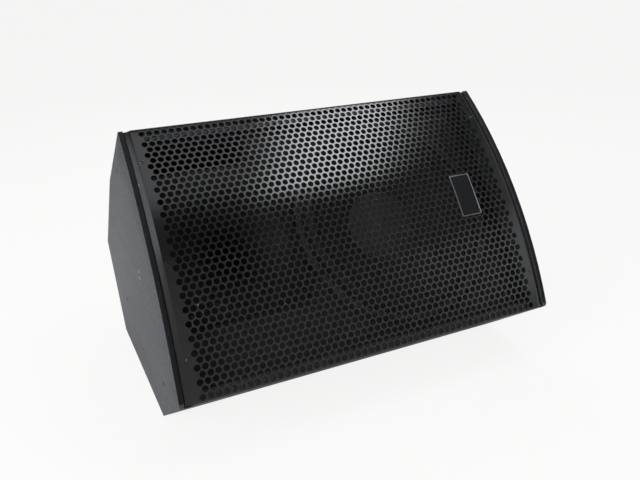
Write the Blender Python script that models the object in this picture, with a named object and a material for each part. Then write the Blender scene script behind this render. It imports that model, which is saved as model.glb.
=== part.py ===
"""Two-way stage monitor wedge: plywood cabinet, bowed steel grille, 12 inch woofer and round horn.

The cabinet is drawn in its own tilted frame: x across, y from the front into the box, z up along the
front. An empty turns that frame back by the wedge angle, so that the floor panel lies level.
"""

import math

import bmesh
import bpy
from mathutils import Matrix, Vector
from mathutils.geometry import delaunay_2d_cdt

# Fits
GAP = 0.0003                 # between pieces that touch
CUT_CLEARANCE = 0.0010       # round a piece that drops into a cut-out

# Drivers and what the front has to hold
WOOFER_FRAME_RADIUS = 0.151  # pressed frame of a 12 inch driver
SURROUND_ROLL = 0.0065       # radius of the half roll
COIL_RADIUS = 0.0256         # inside of the voice coil former
CONE_DEPTH = 0.054           # rim to neck
HORN_SIDE = 0.182            # square flange
HORN_MOUTH_RADIUS = 0.0745
HORN_FLANGE = 0.006          # thickness of the square flange
HORN_CORNER = 0.018
HORN_WALL = 0.004
HORN_DEPTH = 0.088           # flange face to throat
THROAT_RADIUS = 0.0127       # one inch exit
DRIVER_SPACING = 0.0015      # horn flange to woofer frame

# Cabinet
PANEL = 0.015                # plywood
WEDGE_ANGLE = math.radians(35.0)
TOP_TAPER = math.radians(11.6)
TOP_DEPTH = 0.176            # front edge to the first bend, along the top
TOE_DEPTH = 0.144            # front edge to the floor panel, along the toe
BACK_DEPTH = 0.372           # front edge to the back
FRONT_RADIUS = 0.671         # bow of the grille and of the side panels
WOOFER_EDGE_ROOM = 0.0145    # woofer frame to the top and toe panels
WOOFER_SIDE_ROOM = 0.031     # woofer frame to the right side panel
HORN_SIDE_ROOM = 0.0115      # horn flange to the left side panel
TOP_CORNER_RADIUS = 0.002    # side panel corners above the grille
TOE_CORNER_RADIUS = 0.007    # side panel corners below the grille
BACK_CORNER_RADIUS = 0.003   # the other side panel corners
FOOT_HEIGHT = 0.006
FOOT_RADIUS = 0.019
FOOT_INSET = 0.045

FRONT_HEIGHT = 2 * (WOOFER_FRAME_RADIUS + WOOFER_EDGE_ROOM + PANEL)
WIDTH = (2 * PANEL + HORN_SIDE_ROOM + HORN_SIDE + DRIVER_SPACING
         + 2 * WOOFER_FRAME_RADIUS + WOOFER_SIDE_ROOM)
INSIDE_X = WIDTH / 2 - PANEL

# Grille
GRILLE_SHEET = 0.0012
SIDE_LIP = 0.006             # side panel edge left outside the grille
GRILLE_SEAT = 0.005          # depth of the rebate behind that lip
GRILLE_SLOPE = 0.009         # border that slopes down into the rebate
GRILLE_RETURN = 0.016        # fold over the top and toe panels
HOLE_PITCH = 0.0365          # coarse stand-in for the fine perforation
HOLE_RADIUS = 0.0138
HOLE_MARGIN = 0.006

# Baffle and port
BAFFLE_SETBACK = 0.018
BAFFLE = 0.015
BATTEN = 0.018
PORT_WIDTH = 0.162
PORT_HEIGHT = 0.048
PORT_BOARD = 0.012
PORT_LENGTH = 0.117

# Woofer pressings and motor
FRAME_SHEET = 0.002
FRAME_STEP = 0.010           # depth of the step behind the flange
FRAME_DRAW = 0.0035          # how far that step draws in
FRAME_WINDOWS = 6
WINDOW_WIDTH = 0.058
GASKET_HEIGHT = 0.006
GASKET_WIDTH = 0.0077
GASKET_INSET = 0.0005        # from the edge of the frame
SURROUND_LIP = 0.008         # flat edge of the surround on the frame
SHELF_RADIUS = 0.082
SHELF_WIDTH = 0.006          # ledge that the spider is glued to
SPIDER_ROOM = 0.0105         # cone neck to spider, and spider to frame floor
CLOTH = 0.0008               # surround and spider
PAPER = 0.0016               # cone
MOTOR_PLATE = 0.008
MAGNET_HEIGHT = 0.020
MAGNET_RADIUS = 0.078
CAP_RADIUS = 0.0545
CAP_RISE = 0.017

# Compression driver
HORN_DRIVER_PLATE = 0.008
HORN_DRIVER_MAGNET = 0.015
HORN_DRIVER_RADIUS = 0.050
DOME_RADIUS = 0.0254
DOME_RISE = 0.011
FOIL = 0.0006
REAR_CAP_HEIGHT = 0.022

# Grille plate, handle and inputs
PLATE_WIDTH = 0.0335
PLATE_HEIGHT = 0.0635
PLATE_SHEET = 0.0015
PLATE_FROM_RIM = 0.0444      # middle of the plate to the woofer frame's edge
PLATE_RISE = 0.0034          # above the middle of the front
HANDLE_LENGTH = 0.160        # inside of the recess
HANDLE_WIDTH = 0.092
HANDLE_DEPTH = 0.052
HANDLE_WALL = 0.003
HANDLE_RIM = 0.017
HANDLE_FLANGE = 0.003
HANDLE_CORNER = 0.012
BAR_WIDTH = 0.022
BAR_HEIGHT = 0.014
BAR_DEPTH = 0.009            # middle of the bar below the panel face
DISH_LENGTH = 0.090          # inside of the recess
DISH_HEIGHT = 0.066
DISH_DEPTH = 0.028
DISH_WALL = 0.0025
DISH_RIM = 0.011
DISH_FLANGE = 0.0025
DISH_CORNER = 0.008
DISH_FROM_TOE = 0.186        # behind the front edge of the floor panel
DISH_RISE = 0.154            # above the underside of the floor panel
SOCKET_SPACING = 0.042
SOCKET_RADIUS = 0.0115
SOCKET_COLLAR = 0.0145
COLLAR_HEIGHT = 0.003
SOCKET_BORE = 0.0033
SOCKET_LENGTH = 0.026
LEAD_RADIUS = 0.0025
LEAD_SLACK = 0.045

# Filter board
BOARD_LENGTH = 0.150
BOARD_WIDTH = 0.100
BOARD = 0.004
BOARD_FROM_SIDE = 0.060
BOARD_FROM_TOE = 0.075
BOARD_MARGIN = 0.006         # round and between the parts on the board
COIL_LARGE_RADIUS = 0.026
COIL_SMALL_RADIUS = 0.017
COIL_BORE = 0.009
COIL_LARGE_HEIGHT = 0.022
COIL_SMALL_HEIGHT = 0.015
CAN_LARGE_RADIUS = 0.011
CAN_LARGE_LENGTH = 0.040
CAN_SMALL_RADIUS = 0.009
CAN_SMALL_LENGTH = 0.034
RESISTOR_LENGTH = 0.050
RESISTOR_SIDE = 0.010
TERMINAL_SPACING = 0.020

FINISHES = {
    "cabinet_paint": ((0.050, 0.050, 0.053), 0.62, 0.0),
    "grille_paint": ((0.016, 0.016, 0.017), 0.38, 0.3),
    "baffle_paint": ((0.020, 0.020, 0.021), 0.75, 0.0),
    "bare_plywood": ((0.46, 0.33, 0.19), 0.80, 0.0),
    "frame_paint": ((0.018, 0.018, 0.019), 0.45, 0.4),
    "paper_cone": ((0.022, 0.022, 0.023), 0.85, 0.0),
    "treated_cloth": ((0.016, 0.016, 0.017), 0.70, 0.0),
    "gasket_foam": ((0.012, 0.012, 0.012), 0.90, 0.0),
    "ferrite": ((0.045, 0.043, 0.042), 0.70, 0.0),
    "plated_steel": ((0.48, 0.47, 0.44), 0.35, 1.0),
    "moulded_black": ((0.014, 0.014, 0.015), 0.50, 0.0),
    "titanium": ((0.52, 0.51, 0.50), 0.32, 1.0),
    "copper": ((0.72, 0.34, 0.18), 0.40, 1.0),
    "fibreboard": ((0.30, 0.20, 0.12), 0.80, 0.0),
    "capacitor_film": ((0.55, 0.42, 0.08), 0.45, 0.0),
    "resistor_ceramic": ((0.72, 0.70, 0.64), 0.70, 0.0),
    "rubber": ((0.013, 0.013, 0.013), 0.85, 0.0),
    "plate_enamel": ((0.020, 0.022, 0.028), 0.30, 0.4),
}


# Places worked out from the sizes above
ARC_ANGLE = math.asin(FRONT_HEIGHT / 2 / FRONT_RADIUS)
ARC_LENGTH = 2 * FRONT_RADIUS * ARC_ANGLE
ARC_CENTRE_Y = FRONT_RADIUS * math.cos(ARC_ANGLE)
MIDDLE_Z = FRONT_HEIGHT / 2
HORN_X = -INSIDE_X + HORN_SIDE_ROOM + HORN_SIDE / 2
WOOFER_X = INSIDE_X - WOOFER_SIDE_ROOM - WOOFER_FRAME_RADIUS
BAFFLE_BACK = BAFFLE_SETBACK + BAFFLE
PANEL_FRONT = GRILLE_SEAT + GAP
GRILLE_EDGE = WIDTH / 2 - SIDE_LIP - CUT_CLEARANCE / 2
GRILLE_FIELD = GRILLE_EDGE - GRILLE_SLOPE
PORT_RIGHT = -INSIDE_X + PORT_WIDTH
PORT_FLOOR = FRONT_HEIGHT - PANEL - PORT_HEIGHT
FLANGE_FRONT = BAFFLE_SETBACK - GAP - FRAME_SHEET
SURROUND_EDGE = WOOFER_FRAME_RADIUS - GASKET_INSET - GASKET_WIDTH - GAP
FRAME_INNER_RADIUS = SURROUND_EDGE - SURROUND_LIP
WOOFER_CONE_RADIUS = FRAME_INNER_RADIUS - 2 * SURROUND_ROLL - GAP
FRAME_BODY_RADIUS = FRAME_INNER_RADIUS + 0.0005
FRAME_WALL_RADIUS = FRAME_INNER_RADIUS - FRAME_DRAW
CONE_RIM = FLANGE_FRONT - 0.0007
CONE_NECK = CONE_RIM + CONE_DEPTH
FORMER_RADIUS = COIL_RADIUS + 0.0012
WINDING_RADIUS = FORMER_RADIUS + 0.0008
NECK_RADIUS = FORMER_RADIUS + GAP
SHELF = CONE_NECK + SPIDER_ROOM
FRAME_FLOOR = SHELF + SPIDER_ROOM
FRAME_WALL_START = (FRAME_WALL_RADIUS + FRAME_SHEET, FLANGE_FRONT + FRAME_STEP + 0.0015)
FRAME_WALL_END = (SHELF_RADIUS + 0.0015, SHELF + FRAME_SHEET)
MOTOR_FRONT = FRAME_FLOOR + FRAME_SHEET + GAP
HORN_FACE = BAFFLE_SETBACK - GAP - HORN_FLANGE
HORN_THROAT = HORN_FACE + HORN_DEPTH
HORN_DRIVER_BACK = HORN_THROAT + 2 * HORN_DRIVER_PLATE + HORN_DRIVER_MAGNET + 3 * GAP + REAR_CAP_HEIGHT


def profile_corners():
    """Outer corners of the side profile, from the top front edge round the back to the bottom front edge."""
    back_top = FRONT_HEIGHT - (BACK_DEPTH - TOP_DEPTH) * math.tan(TOP_TAPER)
    back_floor = (BACK_DEPTH - TOE_DEPTH) * math.tan(WEDGE_ANGLE)
    return [
        Vector((0.0, FRONT_HEIGHT)),
        Vector((TOP_DEPTH, FRONT_HEIGHT)),
        Vector((BACK_DEPTH, back_top)),
        Vector((BACK_DEPTH, back_floor)),
        Vector((TOE_DEPTH, 0.0)),
        Vector((0.0, 0.0)),
    ]


CORNERS = profile_corners()


def turned(point):
    """A cabinet point (y, z) after the wedge angle, before the cabinet is set down."""
    sine, cosine = math.sin(WEDGE_ANGLE), math.cos(WEDGE_ANGLE)
    return Vector((point[0] * cosine + point[1] * sine, point[1] * cosine - point[0] * sine))


TURNED = [turned(corner) for corner in CORNERS]
CABINET_Y = -(min(p[0] for p in TURNED) + max(p[0] for p in TURNED)) / 2
CABINET_Z = FOOT_HEIGHT - min(p[1] for p in TURNED)


def set_down(point):
    """A cabinet point (y, z) in the frame of the finished part."""
    return turned(point) + Vector((CABINET_Y, CABINET_Z))


DISH_Y = set_down(CORNERS[4])[0] + DISH_FROM_TOE
DISH_Z = FOOT_HEIGHT + DISH_RISE


def clear_scene():
    """Removes what the startup file holds."""
    for obj in list(bpy.data.objects):
        bpy.data.objects.remove(obj, do_unlink=True)


def finish_material(name):
    """The Principled material of a finish, made once."""
    material = bpy.data.materials.get(name)
    if material is None:
        material = bpy.data.materials.new(name)
        material.use_nodes = True
        colour, roughness, metallic = FINISHES[name]
        shader = material.node_tree.nodes["Principled BSDF"]
        shader.inputs["Base Color"].default_value = (*colour, 1.0)
        shader.inputs["Roughness"].default_value = roughness
        shader.inputs["Metallic"].default_value = metallic
    return material


def add_frame(name, location, tilt):
    """An empty that carries pieces drawn in a tilted frame."""
    frame = bpy.data.objects.new(name, None)
    frame.location = location
    frame.rotation_euler = (tilt, 0.0, 0.0)
    bpy.context.scene.collection.objects.link(frame)
    return frame


def add_piece(name, bm, finish, parent=None, smooth=None):
    """Turns a bmesh into a named object with its finish."""
    bmesh.ops.remove_doubles(bm, verts=bm.verts, dist=1e-6)
    bmesh.ops.recalc_face_normals(bm, faces=bm.faces)
    mesh = bpy.data.meshes.new(name)
    bm.to_mesh(mesh)
    bm.free()
    piece = bpy.data.objects.new(name, mesh)
    bpy.context.scene.collection.objects.link(piece)
    piece.parent = parent
    if finish is not None:
        mesh.materials.append(finish_material(finish))
    if smooth is not None:
        mesh.shade_smooth()
        mesh.set_sharp_from_angle(angle=math.radians(smooth))
    return piece


def cut(piece, cutter):
    """Cuts one closed shape out of a piece and hides the cutter."""
    cutter.hide_render = True
    cutter.display_type = "WIRE"
    modifier = piece.modifiers.new("cut " + cutter.name, "BOOLEAN")
    modifier.operation = "DIFFERENCE"
    modifier.object = cutter


def prism(outline, axis, low, high):
    """A flat outline pulled along one axis; the outline lists the other two axes in x, y, z order."""
    bm = bmesh.new()
    corners = []
    for first, second in outline:
        place = [first, second]
        place.insert(axis, low)
        corners.append(bm.verts.new(place))
    face = bm.faces.new(corners)
    pulled = bmesh.ops.extrude_face_region(bm, geom=[face])
    step = Vector((0.0, 0.0, 0.0))
    step[axis] = high - low
    moved = [item for item in pulled["geom"] if isinstance(item, bmesh.types.BMVert)]
    bmesh.ops.translate(bm, verts=moved, vec=step)
    return bm


def box(low, high):
    """A block between two corners."""
    outline = [(low[0], low[1]), (high[0], low[1]), (high[0], high[1]), (low[0], high[1])]
    return prism(outline, 2, low[2], high[2])


def turned_piece(profile, steps, centre=(0.0, 0.0)):
    """A closed profile of (radius, y) spun round a line along y through centre (x, z)."""
    bm = bmesh.new()
    verts = [bm.verts.new((radius, depth, 0.0)) for radius, depth in profile]
    edges = [bm.edges.new((verts[i - 1], verts[i])) for i in range(len(verts))]
    bmesh.ops.spin(bm, geom=verts + edges, cent=(0.0, 0.0, 0.0), axis=(0.0, 1.0, 0.0),
                   dvec=(0.0, 0.0, 0.0), angle=2 * math.pi, steps=steps, use_merge=True)
    bmesh.ops.remove_doubles(bm, verts=bm.verts, dist=1e-6)
    bmesh.ops.dissolve_degenerate(bm, edges=bm.edges, dist=1e-7)
    bmesh.ops.translate(bm, verts=bm.verts, vec=(centre[0], 0.0, centre[1]))
    return bm


def skin(rings, closed):
    """Quads between rings of equal length; open ends get a flat cap."""
    bm = bmesh.new()
    rows = [[bm.verts.new(place) for place in ring] for ring in rings]
    count = len(rows[0])
    pairs = list(zip(rows, rows[1:]))
    if closed:
        pairs.append((rows[-1], rows[0]))
    for here, there in pairs:
        for i in range(count):
            nxt = (i + 1) % count
            bm.faces.new((here[i], here[nxt], there[nxt], there[i]))
    if not closed:
        bm.faces.new(rows[0])
        bm.faces.new(rows[-1])
    return bm


def rounded(outline, radii, steps):
    """The outline with an arc of the given radius in each corner; a radius of 0 leaves it sharp."""
    result = []
    for i, (corner, radius) in enumerate(zip(outline, radii)):
        corner = Vector(corner)
        if radius == 0:
            result.append(corner)
            continue
        back = (Vector(outline[i - 1]) - corner).normalized()
        ahead = (Vector(outline[(i + 1) % len(outline)]) - corner).normalized()
        half = back.angle(ahead) / 2
        centre = corner + (back + ahead).normalized() * radius / math.sin(half)
        start = corner + back * radius / math.tan(half) - centre
        end = corner + ahead * radius / math.tan(half) - centre
        for step in range(steps + 1):
            result.append(centre + start.slerp(end, step / steps) * radius)
    return result


def rounded_box_ring(half_x, half_y, radius, steps=3):
    """A rectangle about the origin with rounded corners."""
    outline = [(-half_x, -half_y), (half_x, -half_y), (half_x, half_y), (-half_x, half_y)]
    return rounded(outline, [radius] * 4, steps)


def arc_point(angle, drop=0.0):
    """A point (y, z) on the bowed front, at an angle from its middle and a drop behind the outer face."""
    radius = FRONT_RADIUS - drop
    return Vector((ARC_CENTRE_Y - radius * math.cos(angle), MIDDLE_Z + radius * math.sin(angle)))


def front_arc(steps, drop=0.0, reach=1.0):
    """Points up the bowed front, from the bottom edge to the top edge."""
    return [arc_point(ARC_ANGLE * reach * (2 * i / steps - 1), drop) for i in range(steps + 1)]


def inset_corners():
    """Inner corners of the panels, one panel thickness inside the profile."""
    inner = []
    for i in range(1, len(CORNERS) - 1):
        before = (CORNERS[i] - CORNERS[i - 1]).normalized()
        after = (CORNERS[i + 1] - CORNERS[i]).normalized()
        normal_before = Vector((before[1], -before[0]))
        normal_after = Vector((after[1], -after[0]))
        mitre = (normal_before + normal_after).normalized()
        inner.append(CORNERS[i] + mitre * PANEL / mitre.dot(normal_before))
    return inner


def build_side_panels(cabinet):
    """The two end boards, with a rebate behind the front lip for the grille."""
    front = front_arc(12)
    outline = front + CORNERS[1:5]
    radii = [TOE_CORNER_RADIUS] + [0] * (len(front) - 2) + [TOP_CORNER_RADIUS] + [BACK_CORNER_RADIUS] * 4
    shape = rounded(outline, radii, 3)
    seat = front_arc(12, GRILLE_SEAT, 1.1)
    clear_of_front = [point - Vector((0.03, 0.0)) for point in reversed(seat)]
    panels = []
    for name, side in (("side_panel_left", -1), ("side_panel_right", 1)):
        inner, outer = side * INSIDE_X, side * WIDTH / 2
        panel = add_piece(name, prism(shape, 0, min(inner, outer), max(inner, outer)),
                          "cabinet_paint", cabinet)
        rebate_end = side * (WIDTH / 2 - SIDE_LIP)
        start = side * (INSIDE_X - 0.01)
        rebate = prism(seat + clear_of_front, 0, min(start, rebate_end), max(start, rebate_end))
        cut(panel, add_piece(name + "_rebate", rebate, None, cabinet))
        panels.append(panel)
    return panels


def mitred_panel(start, end, start_inner, end_inner):
    """A board section between two mitres, shortened by the fit gap at both ends."""
    along = (end - start).normalized() * GAP * 0.7
    return [start + along, end - along, end_inner - along, start_inner + along]


def build_wrap_panels(cabinet):
    """The boards that wrap round between the side panels: top, upper rear, rear, floor and toe."""
    inner = inset_corners()
    half = INSIDE_X - GAP
    step = GRILLE_SHEET + GAP
    fold = GRILLE_RETURN + GAP
    top = mitred_panel(CORNERS[0], CORNERS[1], Vector((0, FRONT_HEIGHT - PANEL)), inner[0])
    top_section = [Vector((PANEL_FRONT, FRONT_HEIGHT - step)), Vector((fold, FRONT_HEIGHT - step)),
                   Vector((fold, FRONT_HEIGHT)), top[1], top[2],
                   Vector((PANEL_FRONT, FRONT_HEIGHT - PANEL))]
    toe = mitred_panel(CORNERS[4], CORNERS[5], inner[3], Vector((0, PANEL)))
    toe_section = [toe[0], Vector((fold, 0)), Vector((fold, step)), Vector((PANEL_FRONT, step)),
                   Vector((PANEL_FRONT, PANEL)), toe[3]]
    sections = {
        "top_panel": top_section,
        "rear_upper_panel": mitred_panel(CORNERS[1], CORNERS[2], inner[0], inner[1]),
        "rear_panel": mitred_panel(CORNERS[2], CORNERS[3], inner[1], inner[2]),
        "floor_panel": mitred_panel(CORNERS[3], CORNERS[4], inner[2], inner[3]),
        "toe_panel": toe_section,
    }
    return {name: add_piece(name, prism(section, 0, -half, half), "cabinet_paint", cabinet)
            for name, section in sections.items()}


def circle(radius, centre, steps):
    """Points round a circle in a plane."""
    return [(centre[0] + radius * math.cos(2 * math.pi * i / steps),
             centre[1] + radius * math.sin(2 * math.pi * i / steps)) for i in range(steps)]


def build_baffle(cabinet):
    """The driver board, notched in one corner for the port, and the battens that it is screwed to."""
    half = INSIDE_X - GAP
    low, high = PANEL + GAP, FRONT_HEIGHT - PANEL - GAP
    outline = [(-half, low), (half, low), (half, high), (PORT_RIGHT, high),
               (PORT_RIGHT, PORT_FLOOR), (-half, PORT_FLOOR)]
    baffle = add_piece("front_baffle", prism(outline, 1, BAFFLE_SETBACK, BAFFLE_BACK),
                       "baffle_paint", cabinet)
    through = (BAFFLE_SETBACK - 0.01, BAFFLE_BACK + 0.01)
    openings = {"woofer_hole": (FRAME_BODY_RADIUS + FRAME_SHEET + CUT_CLEARANCE, WOOFER_X),
                "horn_hole": (HORN_MOUTH_RADIUS + 2 * HORN_WALL + CUT_CLEARANCE, HORN_X)}
    for name, (radius, x) in openings.items():
        hole = prism(circle(radius, (x, MIDDLE_Z), 32), 1, *through)
        cut(baffle, add_piece(name, hole, None, cabinet))

    near, far = BAFFLE_BACK + GAP, BAFFLE_BACK + GAP + BATTEN
    side_low = low + BATTEN + GAP
    port_under = PORT_FLOOR - PORT_BOARD - GAP
    battens = {
        "batten_toe": ((-half, low), (half, low + BATTEN)),
        "batten_top": ((PORT_RIGHT + PORT_BOARD + GAP, high - BATTEN), (half, high)),
        "batten_left": ((-half, side_low), (-half + BATTEN, port_under)),
        "batten_right": ((half - BATTEN, side_low), (half, high - BATTEN - GAP)),
    }
    for name, (corner, far_corner) in battens.items():
        block = box((corner[0], near, corner[1]), (far_corner[0], far, far_corner[1]))
        add_piece(name, block, "bare_plywood", cabinet)

    back = near + PORT_LENGTH
    shelf = box((-half, near, PORT_FLOOR - PORT_BOARD), (PORT_RIGHT + PORT_BOARD, back, PORT_FLOOR))
    add_piece("port_shelf", shelf, "baffle_paint", cabinet)
    wall = box((PORT_RIGHT, near, PORT_FLOOR + GAP), (PORT_RIGHT + PORT_BOARD, back, high))
    add_piece("port_wall", wall, "baffle_paint", cabinet)


def grille_holes():
    """Centres (x, s) of the staggered perforation, s measured up the bowed sheet."""
    field = GRILLE_FIELD - HOLE_MARGIN - HOLE_RADIUS
    row_step = HOLE_PITCH * math.sqrt(3) / 2
    rows = int((ARC_LENGTH - 2 * (HOLE_MARGIN + HOLE_RADIUS)) / row_step)
    centres = []
    for row in range(rows + 1):
        s = ARC_LENGTH / 2 + (row - rows / 2) * row_step
        columns = int(2 * field / HOLE_PITCH) - row % 2
        for column in range(columns + 1):
            centres.append(((column - columns / 2) * HOLE_PITCH, s))
    return centres


def grille_place(x, s, inner):
    """Where a point of the flat grille blank lies once the sheet is bowed, sloped at its ends and folded."""
    depth = GRILLE_SHEET if inner else 0.0
    beyond = max(-s, s - ARC_LENGTH)
    on_fold = abs(x) <= GRILLE_FIELD + 1e-6
    if on_fold and beyond >= -1e-9:
        # The fold's inside corner lies where the bowed inner face meets the return's inner face.
        angle = math.asin((FRONT_HEIGHT / 2 - depth) / (FRONT_RADIUS - depth))
        corner = arc_point(angle, depth)
        y, z = (corner[0] if beyond < 1e-9 else beyond), corner[1]
        return (x, y, z if s > 0.5 * ARC_LENGTH else FRONT_HEIGHT - z)
    full_drop = GRILLE_SEAT - GRILLE_SHEET - GAP
    drop = full_drop * max(abs(x) - GRILLE_FIELD, 0.0) / GRILLE_SLOPE
    y, z = arc_point((s - ARC_LENGTH / 2) / FRONT_RADIUS, drop + depth)
    return (x, y, z)


def grille_blank():
    """The flat blank: points and triangles of the outline with its folds, slopes and holes."""
    columns = [GRILLE_FIELD, GRILLE_EDGE]
    points, edges = [], []

    def add_line(places, closed=False):
        first = len(points)
        points.extend(Vector(place) for place in places)
        last = len(places) if closed else len(places) - 1
        edges.extend((first + i, first + (i + 1) % len(places)) for i in range(last))

    steps = 14
    for side in (-1, 1):
        for x in columns:
            add_line([(side * x, ARC_LENGTH * i / steps) for i in range(steps + 1)])
        for s in (0.0, ARC_LENGTH):
            add_line([(side * x, s) for x in columns])
            outward = -GRILLE_RETURN if s == 0.0 else GRILLE_RETURN
            add_line([(side * GRILLE_FIELD, s), (side * GRILLE_FIELD, s + outward)])
    for s in (0.0, -GRILLE_RETURN, ARC_LENGTH, ARC_LENGTH + GRILLE_RETURN):
        add_line([(-GRILLE_FIELD, s), (GRILLE_FIELD, s)])
    for x, s in grille_holes():
        turn = math.pi / 6
        add_line([(x + HOLE_RADIUS * math.cos(turn + math.pi / 3 * i),
                   s + HOLE_RADIUS * math.sin(turn + math.pi / 3 * i)) for i in range(6)], True)
    flat, _, triangles, _, _, _ = delaunay_2d_cdt(points, edges, [], 0, 1e-6)
    return flat, triangles


def is_sheet(middle, holes):
    """Whether a triangle's middle lies on the blank's metal."""
    x, s = middle
    inside = abs(x) < GRILLE_EDGE and 0 < s < ARC_LENGTH
    fold = abs(x) < GRILLE_FIELD and -GRILLE_RETURN < s < ARC_LENGTH + GRILLE_RETURN
    if not (inside or fold):
        return False
    return all((x - hx) ** 2 + (s - hs) ** 2 > (0.8 * HOLE_RADIUS) ** 2 for hx, hs in holes)


def build_grille(cabinet):
    """The perforated steel front: bowed, sloped down at its ends, folded over top and toe."""
    flat, triangles = grille_blank()
    holes = grille_holes()
    kept = [t for t in triangles if is_sheet(sum((flat[i] for i in t), Vector((0, 0))) / 3, holes)]
    bm = bmesh.new()
    outer = [bm.verts.new(grille_place(p[0], p[1], False)) for p in flat]
    inner = [bm.verts.new(grille_place(p[0], p[1], True)) for p in flat]
    border = {}
    for a, b, c in kept:
        bm.faces.new((outer[a], outer[b], outer[c]))
        bm.faces.new((inner[c], inner[b], inner[a]))
        for start, end in ((a, b), (b, c), (c, a)):
            if (end, start) in border:
                del border[(end, start)]
            else:
                border[(start, end)] = True
    for start, end in border:
        bm.faces.new((outer[end], outer[start], inner[start], inner[end]))
    loose = [vert for vert in bm.verts if not vert.link_faces]
    bmesh.ops.delete(bm, geom=loose, context="VERTS")
    add_piece("front_grille", bm, "grille_paint", cabinet)


def build_grille_plate(cabinet):
    """The bare plate on the grille, bent to its bow."""
    half = PLATE_HEIGHT / 2 / FRONT_RADIUS
    angles = [PLATE_RISE / FRONT_RADIUS + half * (i / 2 - 1) for i in range(5)]
    section = [arc_point(angle, -GAP) for angle in angles]
    section += [arc_point(angle, -GAP - PLATE_SHEET) for angle in reversed(angles)]
    middle = WOOFER_X + WOOFER_FRAME_RADIUS - PLATE_FROM_RIM
    plate = prism(section, 0, middle - PLATE_WIDTH / 2, middle + PLATE_WIDTH / 2)
    add_piece("grille_plate", plate, "plate_enamel", cabinet)


def cone_depth(radius):
    """Depth of the cone's front face at a radius, a little steeper towards the neck."""
    share = (radius - NECK_RADIUS) / (WOOFER_CONE_RADIUS - NECK_RADIUS)
    return CONE_NECK - CONE_DEPTH * share ** 0.92


def build_woofer_frame(cabinet, centre):
    """The pressed frame: flange, open conical wall, spider shelf and the floor that carries the motor."""
    front, sheet, wall = FLANGE_FRONT, FRAME_SHEET, FRAME_WALL_RADIUS
    ledge = SHELF_RADIUS - SHELF_WIDTH
    floor_edge = ledge - sheet
    floor_hole = WINDING_RADIUS + 0.0025
    profile = [
        (WOOFER_FRAME_RADIUS, front),
        (FRAME_INNER_RADIUS, front),
        (wall, front + FRAME_STEP),
        (SHELF_RADIUS, SHELF),
        (ledge, SHELF),
        (floor_edge, FRAME_FLOOR),
        (floor_hole, FRAME_FLOOR),
        (floor_hole, FRAME_FLOOR + sheet),
        (floor_edge + sheet, FRAME_FLOOR + sheet),
        (ledge + sheet, SHELF + sheet),
        FRAME_WALL_END,
        FRAME_WALL_START,
        (FRAME_BODY_RADIUS, front + sheet),
        (WOOFER_FRAME_RADIUS, front + sheet),
    ]
    frame = add_piece("woofer_frame", turned_piece(profile, 32, centre), "frame_paint", cabinet, 40)
    near = front + 2 * FRAME_STEP
    far = SHELF - FRAME_STEP
    outline = rounded_box_ring(WINDOW_WIDTH / 2, (far - near) / 2, 0.008)
    for i in range(FRAME_WINDOWS):
        opening = prism(outline, 2, SHELF_RADIUS - 0.004, wall + 0.01)
        turn = Matrix.Rotation(2 * math.pi * (i + 0.5) / FRAME_WINDOWS, 4, "Y")
        bmesh.ops.translate(opening, verts=opening.verts, vec=(0, (near + far) / 2, 0))
        bmesh.ops.transform(opening, verts=opening.verts, matrix=turn)
        bmesh.ops.translate(opening, verts=opening.verts, vec=(centre[0], 0, centre[1]))
        cut(frame, add_piece("frame_window_%d" % i, opening, None, cabinet))


def build_woofer_suspension(cabinet, centre):
    """Gasket ring, half-roll surround and the corrugated spider."""
    lip = FLANGE_FRONT - GAP
    outer = WOOFER_FRAME_RADIUS - GASKET_INSET
    gasket = [(outer - GASKET_WIDTH, lip), (outer - GASKET_WIDTH, lip - GASKET_HEIGHT),
              (outer, lip - GASKET_HEIGHT), (outer, lip)]
    add_piece("woofer_gasket", turned_piece(gasket, 32, centre), "gasket_foam", cabinet, 40)

    sheet = CLOTH
    roll_middle = WOOFER_CONE_RADIUS + GAP + SURROUND_ROLL
    turns = [math.pi * i / 4 for i in range(5)]
    outside = [(roll_middle - SURROUND_ROLL * math.cos(t), lip - sheet - SURROUND_ROLL * math.sin(t))
               for t in turns]
    inside = [(roll_middle - (SURROUND_ROLL - sheet) * math.cos(t),
               lip - sheet - (SURROUND_ROLL - sheet) * math.sin(t)) for t in reversed(turns)]
    foot = WOOFER_CONE_RADIUS + GAP
    surround = [(foot, lip)] + outside + [(SURROUND_EDGE, lip - sheet), (SURROUND_EDGE, lip),
                                          (FRAME_INNER_RADIUS - sheet, lip)]
    surround += inside + [(foot + sheet, lip)]
    add_piece("woofer_surround", turned_piece(surround, 32, centre), "treated_cloth", cabinet, 50)

    inner, outer = NECK_RADIUS, SHELF_RADIUS - 0.001
    rings = 9
    wave = 0.0016
    front_face, back_face = [], []
    for i in range(rings):
        radius = inner + (outer - inner) * i / (rings - 1)
        swing = wave * math.sin(math.pi * i / 2) if 1 < i < rings - 2 else 0.0
        front_face.append((radius, SHELF - GAP - CLOTH - swing))
        back_face.append((radius, SHELF - GAP - swing))
    spider = front_face + back_face[::-1]
    add_piece("woofer_spider", turned_piece(spider, 20, centre), "treated_cloth", cabinet, 20)


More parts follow.
